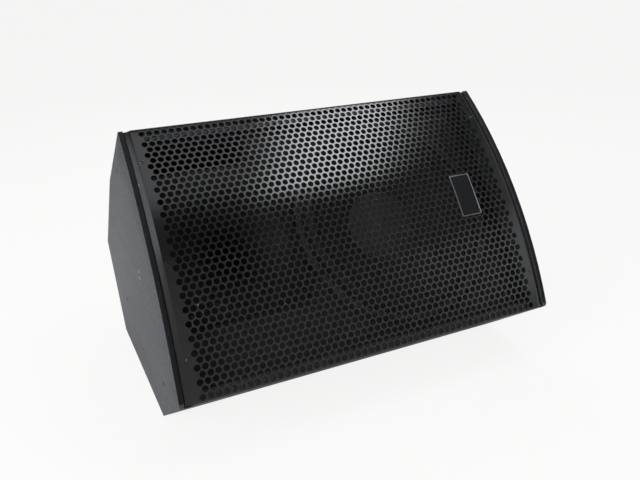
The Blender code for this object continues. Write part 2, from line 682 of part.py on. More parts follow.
def build_woofer_moving(cabinet, centre):
    """What the signal moves: cone, dust cap and voice coil, drawn about the driver's own axis."""
    carrier = add_frame("woofer_axis", (centre[0], 0.0, centre[1]), 0.0)
    carrier.parent = cabinet
    radii = [NECK_RADIUS + (WOOFER_CONE_RADIUS - NECK_RADIUS) * i / 4 for i in range(5)]
    neck = CONE_NECK + 0.004
    cone = [(radius, cone_depth(radius)) for radius in reversed(radii)]
    cone += [(NECK_RADIUS, neck), (NECK_RADIUS + PAPER, neck)]
    cone += [(radius, cone_depth(radius) + PAPER) for radius in radii[1:]]
    add_piece("woofer_cone", turned_piece(cone, 32), "paper_cone", carrier, 30)

    rim = cone_depth(CAP_RADIUS) - 0.0005
    shell = 0.001
    sphere = (CAP_RADIUS ** 2 + CAP_RISE ** 2) / (2 * CAP_RISE)
    spread = math.asin(CAP_RADIUS / sphere)
    turns = [spread * i / 4 for i in range(5)]
    dome = [(sphere * math.sin(t), rim + sphere * (math.cos(spread) - math.cos(t))) for t in turns]
    under = [(max(radius - shell * 0.3, 0.0), depth + shell) for radius, depth in reversed(dome)]
    under[0] = (CAP_RADIUS - shell, rim)
    add_piece("woofer_dust_cap", turned_piece(dome + under, 24), "paper_cone", carrier, 30)

    start = CONE_NECK - 0.004
    winding = FRAME_FLOOR
    end = MOTOR_FRONT + MOTOR_PLATE - 0.001
    coil = [(COIL_RADIUS, start), (FORMER_RADIUS, start), (FORMER_RADIUS, winding),
            (WINDING_RADIUS, winding), (WINDING_RADIUS, end), (COIL_RADIUS, end)]
    add_piece("woofer_voice_coil", turned_piece(coil, 20), "copper", carrier, 40)


def build_woofer_motor(cabinet, centre):
    """Top plate, ferrite ring and the yoke with its vented pole."""
    front = MOTOR_FRONT
    back = front + MOTOR_PLATE
    plate = [(WINDING_RADIUS + 0.0008, front), (MAGNET_RADIUS - 0.008, front),
             (MAGNET_RADIUS - 0.008, back), (WINDING_RADIUS + 0.0008, back)]
    add_piece("woofer_top_plate", turned_piece(plate, 24, centre), "plated_steel", cabinet, 40)
    front = back + GAP
    back = front + MAGNET_HEIGHT
    ring = [(COIL_RADIUS + 0.019, front), (MAGNET_RADIUS, front), (MAGNET_RADIUS, back),
            (COIL_RADIUS + 0.019, back)]
    add_piece("woofer_magnet", turned_piece(ring, 24, centre), "ferrite", cabinet, 40)
    front = back + GAP
    back = front + MOTOR_PLATE
    pole = COIL_RADIUS - 0.0016
    vent = 0.008
    yoke = [(vent, MOTOR_FRONT), (pole, MOTOR_FRONT), (pole, front), (MAGNET_RADIUS - 0.006, front),
            (MAGNET_RADIUS - 0.006, back), (vent, back)]
    add_piece("woofer_yoke", turned_piece(yoke, 24, centre), "plated_steel", cabinet, 40)


def square_radius(angle, half, corner):
    """Distance from the middle to the edge of a square with rounded corners."""
    fold = abs((angle + math.pi / 4) % (math.pi / 2) - math.pi / 4)
    straight = half / math.cos(fold)
    if straight * math.sin(fold) <= half - corner:
        return straight
    along = (half - corner) * (math.cos(fold) + math.sin(fold))
    off_squared = 2 * (half - corner) ** 2 - along ** 2
    return along + math.sqrt(max(corner ** 2 - off_squared, 0.0))


def build_horn(cabinet):
    """One moulding: square flange, round mouth and an exponential flare down to the throat."""
    count = 32
    angles = [2 * math.pi * i / count for i in range(count)]

    def square(depth):
        return [(HORN_X + square_radius(a, HORN_SIDE / 2, HORN_CORNER) * math.cos(a), depth,
                 MIDDLE_Z + square_radius(a, HORN_SIDE / 2, HORN_CORNER) * math.sin(a)) for a in angles]

    def ring(radius, depth):
        return [(HORN_X + radius * math.cos(a), depth, MIDDLE_Z + radius * math.sin(a)) for a in angles]

    lip = HORN_FACE + 0.0035
    growth = math.log(HORN_MOUTH_RADIUS / THROAT_RADIUS) / (HORN_THROAT - lip)
    steps = 5
    depths = [lip + (HORN_THROAT - lip) * i / steps for i in range(steps + 1)]
    flare = [ring(THROAT_RADIUS * math.exp(growth * (HORN_THROAT - d)), d) for d in depths]
    wall = HORN_WALL
    pad = THROAT_RADIUS + 0.017
    pad_front = HORN_THROAT - 0.006
    outside = [ring(THROAT_RADIUS * math.exp(growth * (HORN_THROAT - d)) + wall, d)
               for d in reversed(depths[1:-1])]
    under = BAFFLE_SETBACK - GAP
    rings = [square(under), square(HORN_FACE), ring(HORN_MOUTH_RADIUS + 0.0045, HORN_FACE)]
    rings += flare + [ring(pad, HORN_THROAT), ring(pad, pad_front)] + outside
    rings += [ring(HORN_MOUTH_RADIUS + wall, under)]
    add_piece("horn_flare", skin(rings, True), "moulded_black", cabinet, 35)


def build_horn_driver(cabinet):
    """Compression driver: front plate, ferrite ring, pole, back plate, diaphragm and rear cap."""
    centre = (HORN_X, MIDDLE_Z)
    plate, magnet = HORN_DRIVER_PLATE, HORN_DRIVER_MAGNET
    front = HORN_THROAT + GAP
    front_back = front + plate
    magnet_front = front_back + GAP
    magnet_back = magnet_front + magnet
    rear = magnet_back + GAP
    rear_back = rear + plate
    body = HORN_DRIVER_RADIUS
    dome = DOME_RADIUS
    pole = dome - 0.0012
    slot = dome + 0.0014
    pieces = {
        "horn_driver_front_plate": ([(THROAT_RADIUS, front), (body, front), (body, front_back),
                                     (THROAT_RADIUS, front_back)], "plated_steel"),
        "horn_driver_magnet": ([(slot + 0.002, magnet_front), (body + 0.0075, magnet_front),
                                (body + 0.0075, magnet_back), (slot + 0.002, magnet_back)], "ferrite"),
        "horn_driver_pole": ([(THROAT_RADIUS, magnet_front), (pole, magnet_front), (pole, rear_back),
                              (THROAT_RADIUS + 0.004, rear_back)], "plated_steel"),
        "horn_driver_back_plate": ([(slot, rear), (body, rear), (body, rear_back), (slot, rear_back)],
                                   "plated_steel"),
        "horn_driver_rear_cap": ([(body - 0.012, rear_back + GAP), (body - 0.002, rear_back + GAP),
                                  (body - 0.002, HORN_DRIVER_BACK - 0.004),
                                  (body - 0.006, HORN_DRIVER_BACK), (0.0, HORN_DRIVER_BACK),
                                  (0.0, HORN_DRIVER_BACK - 0.003),
                                  (body - 0.012, HORN_DRIVER_BACK - 0.003)], "moulded_black"),
    }
    for name, (profile, finish) in pieces.items():
        add_piece(name, turned_piece(profile, 24, centre), finish, cabinet, 40)

    carrier = add_frame("horn_axis", (HORN_X, 0.0, MIDDLE_Z), 0.0)
    carrier.parent = cabinet
    foil = FOIL
    seat = rear_back + 2 * GAP
    turns = [i / 3 for i in range(4)]
    crown = DOME_RISE
    outside = [(dome * share, seat + foil + crown * (1 - share ** 2)) for share in turns]
    inside = [((dome - foil) * share, seat + crown * (1 - share ** 2)) for share in reversed(turns)]
    rim = [(body - 0.0135, seat + foil), (body - 0.0135, seat), (dome + 0.0004, seat),
           (dome + 0.0004, seat - 0.005)]
    skirt = [(dome - foil, seat - 0.005)]
    add_piece("horn_diaphragm", turned_piece(outside + rim + skirt + inside, 20), "titanium", carrier, 40)


def build_crossover():
    """Filter board on the cabinet floor with two coils, two capacitors and a resistor."""
    floor = FOOT_HEIGHT + PANEL + GAP
    left = -INSIDE_X + BOARD_FROM_SIDE
    front = set_down(CORNERS[4])[0] + BOARD_FROM_TOE
    right, back = left + BOARD_LENGTH, front + BOARD_WIDTH
    top = floor + BOARD + GAP
    add_piece("crossover_board", box((left, front, floor), (right, back, floor + BOARD)), "fibreboard")

    def upright_coil(name, x, radius, height):
        ring = turned_piece([(COIL_BORE, 0.0), (radius, 0.0), (radius, height), (COIL_BORE, height)], 20)
        bmesh.ops.rotate(ring, verts=ring.verts, matrix=Matrix.Rotation(math.pi / 2, 3, "X"))
        bmesh.ops.translate(ring, verts=ring.verts, vec=(x, front + BOARD_MARGIN + radius, top))
        add_piece(name, ring, "copper", None, 40)

    def lying_can(name, y, radius, length):
        can = turned_piece([(0.0, 0.0), (radius, 0.0), (radius, length), (0.0, length)], 16)
        bmesh.ops.rotate(can, verts=can.verts, matrix=Matrix.Rotation(-math.pi / 2, 3, "Z"))
        bmesh.ops.translate(can, verts=can.verts, vec=(right - BOARD_MARGIN - length, y, top + radius))
        add_piece(name, can, "capacitor_film", None, 40)

    large_x = left + BOARD_MARGIN + COIL_LARGE_RADIUS
    small_x = large_x + COIL_LARGE_RADIUS + BOARD_MARGIN + COIL_SMALL_RADIUS
    upright_coil("crossover_woofer_coil", large_x, COIL_LARGE_RADIUS, COIL_LARGE_HEIGHT)
    upright_coil("crossover_horn_coil", small_x, COIL_SMALL_RADIUS, COIL_SMALL_HEIGHT)
    large_y = front + BOARD_MARGIN + CAN_LARGE_RADIUS
    small_y = large_y + CAN_LARGE_RADIUS + BOARD_MARGIN + CAN_SMALL_RADIUS
    lying_can("crossover_capacitor_large", large_y, CAN_LARGE_RADIUS, CAN_LARGE_LENGTH)
    lying_can("crossover_capacitor_small", small_y, CAN_SMALL_RADIUS, CAN_SMALL_LENGTH)
    resistor_x, resistor_y = left + BOARD_MARGIN, back - BOARD_MARGIN
    resistor = box((resistor_x, resistor_y - RESISTOR_SIDE, top),
                   (resistor_x + RESISTOR_LENGTH, resistor_y, top + RESISTOR_SIDE))
    add_piece("crossover_resistor", resistor, "resistor_ceramic")
    last = Vector((right - 2 * BOARD_MARGIN, back - 2 * BOARD_MARGIN, top))
    return [last - Vector((TERMINAL_SPACING * i, 0.0, 0.0)) for i in (2, 1, 0)]


def cabinet_place(x, y, z):
    """A cabinet point in the frame of the finished part."""
    y, z = set_down((y, z))
    return Vector((x, y, z))


def add_lead(name, start, start_way, end, end_way):
    """A pair of wires in one sleeve from one terminal to another, leaving each straight."""
    places = [start, start + start_way * LEAD_SLACK, end + end_way * LEAD_SLACK, end]
    curve = bpy.data.curves.new(name, "CURVE")
    curve.dimensions = "3D"
    curve.bevel_depth = LEAD_RADIUS
    curve.bevel_resolution = 1
    curve.use_fill_caps = True
    curve.resolution_u = 3
    line = curve.splines.new("NURBS")
    line.points.add(len(places) - 1)
    for point, place in zip(line.points, places):
        point.co = (*place, 1.0)
    line.order_u = 4
    line.use_endpoint_u = True
    curve.materials.append(finish_material("rubber"))
    lead = bpy.data.objects.new(name, curve)
    bpy.context.scene.collection.objects.link(lead)


def build_leads(terminals):
    """Leads from the filter board to the woofer, to the horn driver and to the inputs."""
    up = Vector((0.0, 0.0, 1.0))
    wall_start, wall_end = Vector(FRAME_WALL_START), Vector(FRAME_WALL_END)
    wall = wall_end - wall_start
    outward = Vector((wall[1], -wall[0])).normalized()
    tab = (wall_start + wall_end) / 2 + outward * 2 * GAP
    woofer_way = cabinet_place(0, outward[1], -outward[0]) - cabinet_place(0, 0, 0)
    woofer_end = cabinet_place(WOOFER_X, tab[1], MIDDLE_Z - tab[0])
    add_lead("woofer_lead", terminals[2], up, woofer_end, woofer_way)
    horn_way = cabinet_place(0, 1, 0) - cabinet_place(0, 0, 0)
    horn_end = cabinet_place(HORN_X, HORN_DRIVER_BACK + 2 * GAP, MIDDLE_Z)
    add_lead("horn_lead", terminals[0], up, horn_end, horn_way)
    socket_back = (WIDTH / 2 - 3 * GAP - DISH_FLANGE - DISH_DEPTH - DISH_WALL - SOCKET_LENGTH)
    input_end = Vector((socket_back, DISH_Y - SOCKET_SPACING / 2, DISH_Z))
    add_lead("input_lead", terminals[1], up, input_end, Vector((-1.0, 0.0, 0.0)))


def recess(length, width, depth, wall, rim, rim_height, corner):
    """A moulded cup with a rim: opening up +z, rim face at rim_height, cup below the panel face."""
    inner = (length / 2, width / 2)
    outer = (length / 2 + wall, width / 2 + wall)
    edge = (length / 2 + rim, width / 2 + rim)
    levels = [(inner, -depth), (inner, GAP + rim_height), (edge, GAP + rim_height), (edge, GAP),
              (outer, GAP), (outer, -depth - wall)]
    rings = []
    for half, level in levels:
        ring = rounded_box_ring(half[0], half[1], corner + half[0] - inner[0])
        rings.append([(point[0], point[1], level) for point in ring])
    return skin(rings, False)


def build_handle(rear_upper):
    """Recessed carrying handle in the upper rear panel: moulded cup and a fixed grip bar."""
    start, end = set_down(CORNERS[1]), set_down(CORNERS[2])
    slope = end - start
    middle = (start + end) / 2
    frame = add_frame("handle_frame", (0.0, middle[0], middle[1]), math.atan2(slope[1], slope[0]))
    cup = recess(HANDLE_LENGTH, HANDLE_WIDTH, HANDLE_DEPTH, HANDLE_WALL, HANDLE_RIM,
                 HANDLE_FLANGE, HANDLE_CORNER)
    add_piece("handle_cup", cup, "moulded_black", frame, 35)
    room = HANDLE_WALL + CUT_CLEARANCE
    hole = rounded_box_ring(HANDLE_LENGTH / 2 + room, HANDLE_WIDTH / 2 + room, HANDLE_CORNER + room)
    cut(rear_upper, add_piece("handle_hole", prism(hole, 2, -PANEL - 0.02, 0.02), None, frame))
    turns = [math.pi * i / 6 for i in range(12)]
    section = [(BAR_WIDTH / 2 * math.cos(t), BAR_HEIGHT / 2 * math.sin(t) - BAR_DEPTH) for t in turns]
    half = HANDLE_LENGTH / 2 - GAP
    add_piece("handle_bar", prism(section, 0, -half, half), "moulded_black", frame, 40)


def build_inputs(side_panel):
    """Input dish in the right side panel with two parallel jack sockets."""
    frame = add_frame("input_frame", (WIDTH / 2 - GAP - DISH_FLANGE, DISH_Y, DISH_Z), 0.0)
    frame.rotation_euler = (math.pi / 2, 0.0, math.pi / 2)
    dish = recess(DISH_LENGTH, DISH_HEIGHT, DISH_DEPTH, DISH_WALL, DISH_RIM, DISH_FLANGE, DISH_CORNER)
    dish = add_piece("input_dish", dish, "moulded_black", frame, 35)
    room = DISH_WALL + CUT_CLEARANCE
    hole = rounded_box_ring(DISH_LENGTH / 2 + room, DISH_HEIGHT / 2 + room, DISH_CORNER + room)
    cut(side_panel, add_piece("dish_hole", prism(hole, 2, -PANEL - 0.02, 0.02), None, frame))
    rim = DISH_RIM + CUT_CLEARANCE / 2
    seat = rounded_box_ring(DISH_LENGTH / 2 + rim, DISH_HEIGHT / 2 + rim, DISH_CORNER + rim)
    cut(side_panel, add_piece("dish_seat", prism(seat, 2, 0.0, 0.02), None, frame))
    floor = -DISH_DEPTH
    back = floor - DISH_WALL
    collar = COLLAR_HEIGHT
    profile = [(SOCKET_BORE, floor + collar), (SOCKET_COLLAR - 0.001, floor + collar),
               (SOCKET_COLLAR, floor + collar - 0.001), (SOCKET_COLLAR, floor + GAP),
               (SOCKET_RADIUS, floor + GAP), (SOCKET_RADIUS, back - SOCKET_LENGTH),
               (0.0, back - SOCKET_LENGTH), (0.0, back - SOCKET_LENGTH + 0.002),
               (SOCKET_BORE, back - SOCKET_LENGTH + 0.002)]
    for name, side in (("input_socket_front", -1), ("input_socket_rear", 1)):
        x = side * SOCKET_SPACING / 2
        drilled = prism(circle(SOCKET_RADIUS + GAP, (x, 0.0), 16), 2, back - 0.01, floor + 0.01)
        cut(dish, add_piece(name + "_hole", drilled, None, frame))
        socket = turned_piece(profile, 16)
        bmesh.ops.rotate(socket, verts=socket.verts, matrix=Matrix.Rotation(math.pi / 2, 3, "X"))
        bmesh.ops.translate(socket, verts=socket.verts, vec=(x, 0.0, 0.0))
        add_piece(name, socket, "moulded_black", frame, 40)


def build_feet():
    """Four rubber feet under the floor panel."""
    near, far = set_down(CORNERS[4])[0], set_down(CORNERS[3])[0]
    top = FOOT_HEIGHT - GAP
    places = {"foot_front_left": (-1, near + FOOT_INSET), "foot_front_right": (1, near + FOOT_INSET),
              "foot_rear_left": (-1, far - FOOT_INSET), "foot_rear_right": (1, far - FOOT_INSET)}
    for name, (side, y) in places.items():
        profile = [(0.0, 0.0), (FOOT_RADIUS - 0.003, 0.0), (FOOT_RADIUS - 0.001, 0.0015),
                   (FOOT_RADIUS, top), (0.0, top)]
        foot = turned_piece(profile, 20)
        bmesh.ops.rotate(foot, verts=foot.verts, matrix=Matrix.Rotation(math.pi / 2, 3, "X"))
        bmesh.ops.translate(foot, verts=foot.verts, vec=(side * (WIDTH / 2 - FOOT_INSET), y, 0.0))
        add_piece(name, foot, "rubber", None, 40)


def main():
    clear_scene()
    cabinet = add_frame("cabinet", (0.0, CABINET_Y, CABINET_Z), -WEDGE_ANGLE)
    woofer = (WOOFER_X, MIDDLE_Z)
    side_panels = build_side_panels(cabinet)
    panels = build_wrap_panels(cabinet)
    build_baffle(cabinet)
    build_grille(cabinet)
    build_grille_plate(cabinet)
    build_woofer_frame(cabinet, woofer)
    build_woofer_suspension(cabinet, woofer)
    build_woofer_moving(cabinet, woofer)
    build_woofer_motor(cabinet, woofer)
    build_horn(cabinet)
    build_horn_driver(cabinet)
    build_leads(build_crossover())
    build_handle(panels["rear_upper_panel"])
    build_inputs(side_panels[1])
    build_feet()


main()
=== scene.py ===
"""Looks of a stage monitor wedge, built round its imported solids.

A black painted box carries a bowed, perforated steel front. The baffle, a twelve-inch woofer, a square horn and a
corner port show through the holes. Lengths are in metres.
"""

import logging
import math
from abc import ABC, abstractmethod
from dataclasses import dataclass, field
from enum import Enum
from functools import lru_cache
from typing import Any, Callable, Sequence, Union

import bmesh
import bpy
from mathutils import Matrix, Vector


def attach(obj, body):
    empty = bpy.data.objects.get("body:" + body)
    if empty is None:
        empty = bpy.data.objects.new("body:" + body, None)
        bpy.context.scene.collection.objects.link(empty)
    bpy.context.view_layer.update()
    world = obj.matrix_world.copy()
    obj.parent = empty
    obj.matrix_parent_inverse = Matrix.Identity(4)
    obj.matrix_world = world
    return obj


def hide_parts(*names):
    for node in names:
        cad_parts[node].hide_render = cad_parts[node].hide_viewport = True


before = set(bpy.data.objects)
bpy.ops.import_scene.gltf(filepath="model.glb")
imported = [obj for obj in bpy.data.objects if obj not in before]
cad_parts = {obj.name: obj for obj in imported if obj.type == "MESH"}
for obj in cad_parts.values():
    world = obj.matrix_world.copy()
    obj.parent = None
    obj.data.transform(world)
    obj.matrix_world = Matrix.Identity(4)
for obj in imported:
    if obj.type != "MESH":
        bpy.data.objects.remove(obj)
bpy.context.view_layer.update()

LOG = logging.getLogger("monitor_wedge")
MERGE = 1e-6
NEAR = 1e-5

Number = Union["Tone", float, int]
Colour = tuple[float, float, float]
Flat = tuple[float, float]
Point = tuple[float, float, float]
Marks = tuple[tuple[Point, float], ...]


class Body(Enum):
    """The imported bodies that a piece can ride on."""

    CABINET = "cabinet"
    WOOFER = "woofer_moving"


class Slot(Enum):
    """The record's material slots."""

    CABINET_PAINT = "cabinet_paint"
    GRILLE_PAINT = "grille_paint"
    BAFFLE_PAINT = "baffle_paint"
    BARE_PLYWOOD = "bare_plywood"
    FRAME_PAINT = "frame_paint"
    PAPER_CONE = "paper_cone"
    TREATED_CLOTH = "treated_cloth"
    GASKET_FOAM = "gasket_foam"
    FERRITE = "ferrite"
    PLATED_STEEL = "plated_steel"
    MOULDED_BLACK = "moulded_black"
    TITANIUM = "titanium"
    COPPER = "copper"
    FIBREBOARD = "fibreboard"
    CAPACITOR_FILM = "capacitor_film"
    RESISTOR_CERAMIC = "resistor_ceramic"
    RUBBER = "rubber"
    PLATE_ENAMEL = "plate_enamel"


class Kind(Enum):
    """What a pick selects in edit mode."""

    VERTS = "VERT"
    EDGES = "EDGE"
    FACES = "FACE"


@dataclass(frozen=True)
class Wedge:
    """The box's own axes: x across, y into the box, z up its front. The box is laid back by the lean."""

    width: float = 0.558
    inside: float = 0.264
    height: float = 0.361
    bow: float = 0.671
    lean: float = math.radians(35)
    shift: float = -0.2443545
    lift: float = 0.0885950
    panel: float = 0.015
    gap: float = 0.0003

    @property
    def place(self) -> Matrix:
        """Turns the box's own axes into those of the finished part."""
        return Matrix.Translation((0.0, self.shift, self.lift)) @ Matrix.Rotation(-self.lean, 4, "X")

    @property
    def spread(self) -> float:
        """Half the angle that the bowed front covers."""
        return math.asin(self.height / 2 / self.bow)

    @property
    def length(self) -> float:
        """Length of the bowed front, measured along the bow."""
        return 2 * self.bow * self.spread

    def on_bow(self, along: float, drop: float = 0.0) -> Flat:
        """Depth and height of a point on the bow.

        Args:
            along: Distance up the bow from its bottom edge.
            drop: Distance below the bow's face.

        Returns:
            The point's y and z in the box's own axes.
        """
        angle = along / self.bow - self.spread
        radius = self.bow - drop
        depth = self.bow * math.cos(self.spread) - radius * math.cos(angle)
        return depth, self.height / 2 + radius * math.sin(angle)

    def spot(self, x: float, y: float, z: float) -> Point:
        """A point of the box's own axes in the part's axes."""
        return tuple(self.place @ Vector((x, y, z)))

    def facing(self, along: float) -> Vector:
        """The direction in which the bow faces, a distance up it, in the part's axes."""
        angle = along / self.bow - self.spread
        return self.place.to_3x3() @ Vector((0.0, -math.cos(angle), math.sin(angle)))


WEDGE = Wedge()


class Tone:
    """A shader socket that carries one number and takes part in Python arithmetic."""

    def __init__(self, coat: "Coat", socket: bpy.types.NodeSocket) -> None:
        """Keeps the socket and the coat whose nodes it belongs to."""
        self.coat = coat
        self.socket = socket

    def _math(self, operation: str, first: Number, second: Number) -> "Tone":
        """Adds one Math node.

        Args:
            operation: The node's operation.
            first: Its first number.
            second: Its second number.

        Returns:
            The node's result.
        """
        node = self.coat.node("ShaderNodeMath", {"operation": operation}, {0: first, 1: second})
        return Tone(self.coat, node.outputs[0])

    def __add__(self, other: Number) -> "Tone":
        """The sum."""
        return self._math("ADD", self, other)

    def __radd__(self, other: Number) -> "Tone":
        """The sum, with the number first."""
        return self._math("ADD", other, self)

    def __sub__(self, other: Number) -> "Tone":
        """The difference."""
        return self._math("SUBTRACT", self, other)

    def __rsub__(self, other: Number) -> "Tone":
        """The difference, with the number first."""
        return self._math("SUBTRACT", other, self)

    def __mul__(self, other: Number) -> "Tone":
        """The product."""
        return self._math("MULTIPLY", self, other)

    def __rmul__(self, other: Number) -> "Tone":
        """The product, with the number first."""
        return self._math("MULTIPLY", other, self)

    def __or__(self, other: Number) -> "Tone":
        """The larger of the two, which joins two masks."""
        return self._math("MAXIMUM", self, other)


class Coat:
    """One material while its nodes are laid out."""

    def __init__(self, name: str) -> None:
        """Starts a material with a plain shader and the piece's own coordinates."""
        self.material = bpy.data.materials.new(name)
        self.material.use_nodes = True
        self.tree = self.material.node_tree
        self.shader = self.tree.nodes["Principled BSDF"]
        self.place = self.node("ShaderNodeTexCoord").outputs["Object"]

    def node(self, kind: str, settings: dict[str, Any] | None = None,
             sockets: dict[Any, Any] | None = None) -> bpy.types.Node:
        """Adds a node.

        Args:
            kind: The node's type.
            settings: Its properties, set first.
            sockets: The number, colour or link of each of its inputs.

        Returns:
            The new node.
        """
        made = self.tree.nodes.new(kind)
        for name, value in (settings or {}).items():
            setattr(made, name, value)
        for key, value in (sockets or {}).items():
            self.feed(made.inputs[key], value)
        return made

    def feed(self, socket: bpy.types.NodeSocket, value: Any) -> None:
        """Sets a socket to a number or colour, or links it to another socket."""
        source = value.socket if isinstance(value, Tone) else value
        if isinstance(source, bpy.types.NodeSocket):
            self.tree.links.new(source, socket)
        elif isinstance(source, tuple) and len(source) == 3 and socket.type == "RGBA":
            socket.default_value = (*source, 1.0)
        else:
            socket.default_value = source

    def stretched(self, scale: Point, turn: Point = (0.0, 0.0, 0.0)) -> bpy.types.NodeSocket:
        """Coordinates that are stretched, and turned about the axes."""
        sockets = {"Vector": self.place, "Scale": scale, "Rotation": turn}
        return self.node("ShaderNodeMapping", None, sockets).outputs[0]

    def noise(self, scale: float, detail: float = 2.0, rough: float = 0.5,
              place: bpy.types.NodeSocket | None = None) -> Tone:
        """Soft noise from 0 to 1.

        Args:
            scale: Cells in a metre.
            detail: How many finer layers it has.
            rough: How strong the finer layers are.
            place: Coordinates, where they aren't the piece's own.

        Returns:
            The noise as a tone.
        """
        sockets = {"Vector": place or self.place, "Scale": scale, "Detail": detail, "Roughness": rough}
        return Tone(self, self.node("ShaderNodeTexNoise", None, sockets).outputs[0])

    def cells(self, scale: float) -> Tone:
        """Distance inside a pattern with that many cells in a metre."""
        made = self.node("ShaderNodeTexVoronoi", None, {"Vector": self.place, "Scale": scale})
        return Tone(self, made.outputs["Distance"])

    def bands(self, scale: float, axis: str) -> Tone:
        """Soft bands across an axis.

        Args:
            scale: Bands in a metre, times the node's own factor.
            axis: The axis that the bands follow.

        Returns:
            The bands as a tone.
        """
        sockets = {"Vector": self.place, "Scale": scale, "Detail": 2.0, "Detail Scale": 1.5}
        made = self.node("ShaderNodeTexWave", {"bands_direction": axis}, sockets)
        return Tone(self, made.outputs["Fac"])

    def rise(self, value: Tone, low: float, high: float) -> Tone:
        """A smooth step from 0 at low to 1 at high."""
        sockets = {"Value": value, "From Min": low, "From Max": high}
        made = self.node("ShaderNodeMapRange", {"interpolation_type": "SMOOTHSTEP"}, sockets)
        return Tone(self, made.outputs["Result"])

    def mark(self, middle: Point, radius: float) -> Tone:
        """A small ragged mark.

        Args:
            middle: Where it lies, in the part's axes.
            radius: About how far it reaches.

        Returns:
            The mark as a tone, 1 inside and 0 outside.
        """
        made = self.node("ShaderNodeVectorMath", {"operation": "DISTANCE"}, {0: self.place, 1: middle})
        away = Tone(self, made.outputs["Value"]) * (1.0 / radius)
        return 1.0 - self.rise(away + 0.9 * (self.noise(2.0 / radius) - 0.5), 0.75, 1.0)

    def blend(self, share: Tone, first: Any, second: Any) -> bpy.types.NodeSocket:
        """Mixes two colours.

        Args:
            share: How much of the second colour shows.
            first: The colour where the share is 0.
            second: The colour where the share is 1.

        Returns:
            The mixed colour's socket.
        """
        made = self.node("ShaderNodeMix", {"data_type": "RGBA"}, {0: share, 6: first, 7: second})
        return made.outputs[2]

    def relief(self, height: Tone, depth: float, strength: float,
               over: bpy.types.NodeSocket | None = None) -> bpy.types.NodeSocket:
        """Bumps the surface.

        Args:
            height: The relief, from 0 to 1.
            depth: The relief's full height in metres.
            strength: How much of it shows.
            over: Another relief below this one.

        Returns:
            The bumped normal.
        """
        sockets = {"Height": height, "Distance": depth, "Strength": strength}
        if over is not None:
            sockets["Normal"] = over
        return self.node("ShaderNodeBump", None, sockets).outputs[0]

    def finish(self, sockets: dict[str, Any]) -> bpy.types.Material:
        """Feeds the shader and gives the material."""
        for name, value in sockets.items():
            self.feed(self.shader.inputs[name], value)
        return self.material


@dataclass(frozen=True)
class Finish(ABC):
    """A finish that can be laid on any piece."""

    name: str

    @abstractmethod
    def lay(self, coat: Coat) -> bpy.types.Material:
        """Lays out the finish's nodes and gives the material."""


@lru_cache(maxsize=None)
def paint(finish: Finish) -> bpy.types.Material:
    """The material of a finish, made once."""
    return finish.lay(Coat(finish.name))


@dataclass(frozen=True)
class RollerPaint(Finish):
    """Black textured paint, rolled on, with dust, scuffs and small chips."""

    dark: Colour = (0.019, 0.0202, 0.0228)
    dusty: Colour = (0.082, 0.086, 0.096)
    chip: Colour = (0.46, 0.45, 0.43)
    rough: float = 0.47
    chips: float = 0.75
    rubbed: float = 0.0
    gloss: float = 0.5
    marks: Marks = ()

    def lay(self, coat: Coat) -> bpy.types.Material:
        """Lays out the finish's nodes and gives the material."""
        pebble = coat.noise(300.0, 3.0, 0.6)
        fine = coat.noise(1500.0, 2.0)
        cloud = coat.noise(8.0, 4.0, 0.6)
        smear = coat.noise(30.0, 3.0, 0.6, coat.stretched((1.0, 0.25, 1.4), (0.5, 0.0, 0.0)))
        spots = coat.rise(coat.noise(210.0, 1.0), 0.76, 0.80) * coat.rise(coat.noise(17.0, 2.0), 0.60, 0.68)
        for middle, radius in self.marks:
            spots = spots | coat.mark(middle, radius)
        wear = coat.rise(coat.noise(120.0, 4.0, 0.7), 0.52, 0.64) * self.rubbed
        colour = coat.blend(coat.rise(cloud, 0.1, 0.9), self.dark, self.dusty)
        colour = coat.blend(coat.rise(smear, 0.58, 0.75) * 0.35, colour, self.dusty)
        colour = coat.blend(coat.rise(pebble, 0.40, 0.62), self.dark, colour)
        colour = coat.blend((spots * self.chips) | wear, colour, self.chip)
        roughness = self.rough + 0.16 * (cloud - 0.5) + 0.10 * (smear - 0.5)
        normal = coat.relief(pebble * 0.75 + fine * 0.25, 0.0006, 0.8)
        return coat.finish({"Base Color": colour, "Roughness": roughness, "Normal": normal,
                            "Specular IOR Level": self.gloss})


@dataclass(frozen=True)
class PowderCoat(Finish):
    """Baked black powder on steel: a fine orange peel, a little dust and small bare spots."""

    dark: Colour = (0.0042, 0.0043, 0.0049)
    dusty: Colour = (0.0095, 0.0097, 0.0106)
    bare: Colour = (0.30, 0.30, 0.30)
    rough: float = 0.18
    peel: float = 1100.0
    spots: float = 0.6
    gloss: float = 0.92
    marks: Marks = ()

    def lay(self, coat: Coat) -> bpy.types.Material:
        """Lays out the finish's nodes and gives the material."""
        peel = coat.noise(self.peel, 2.0)
        cloud = coat.noise(14.0, 4.0, 0.6)
        dust = coat.rise(coat.noise(90.0, 5.0, 0.7), 0.55, 0.75)
        bare = coat.rise(coat.noise(260.0, 1.0), 0.76, 0.79) * coat.rise(coat.noise(12.0, 1.0), 0.6, 0.7)
        for middle, radius in self.marks:
            bare = bare | coat.mark(middle, radius)
        colour = coat.blend(dust * 0.5, self.dark, self.dusty)
        colour = coat.blend(bare * self.spots, colour, self.bare)
        roughness = self.rough + 0.06 * (cloud - 0.5) + 0.08 * dust
        normal = coat.relief(peel, 0.00012, 0.25)
        return coat.finish({"Base Color": colour, "Roughness": roughness, "Normal": normal,
                            "Specular IOR Level": self.gloss})


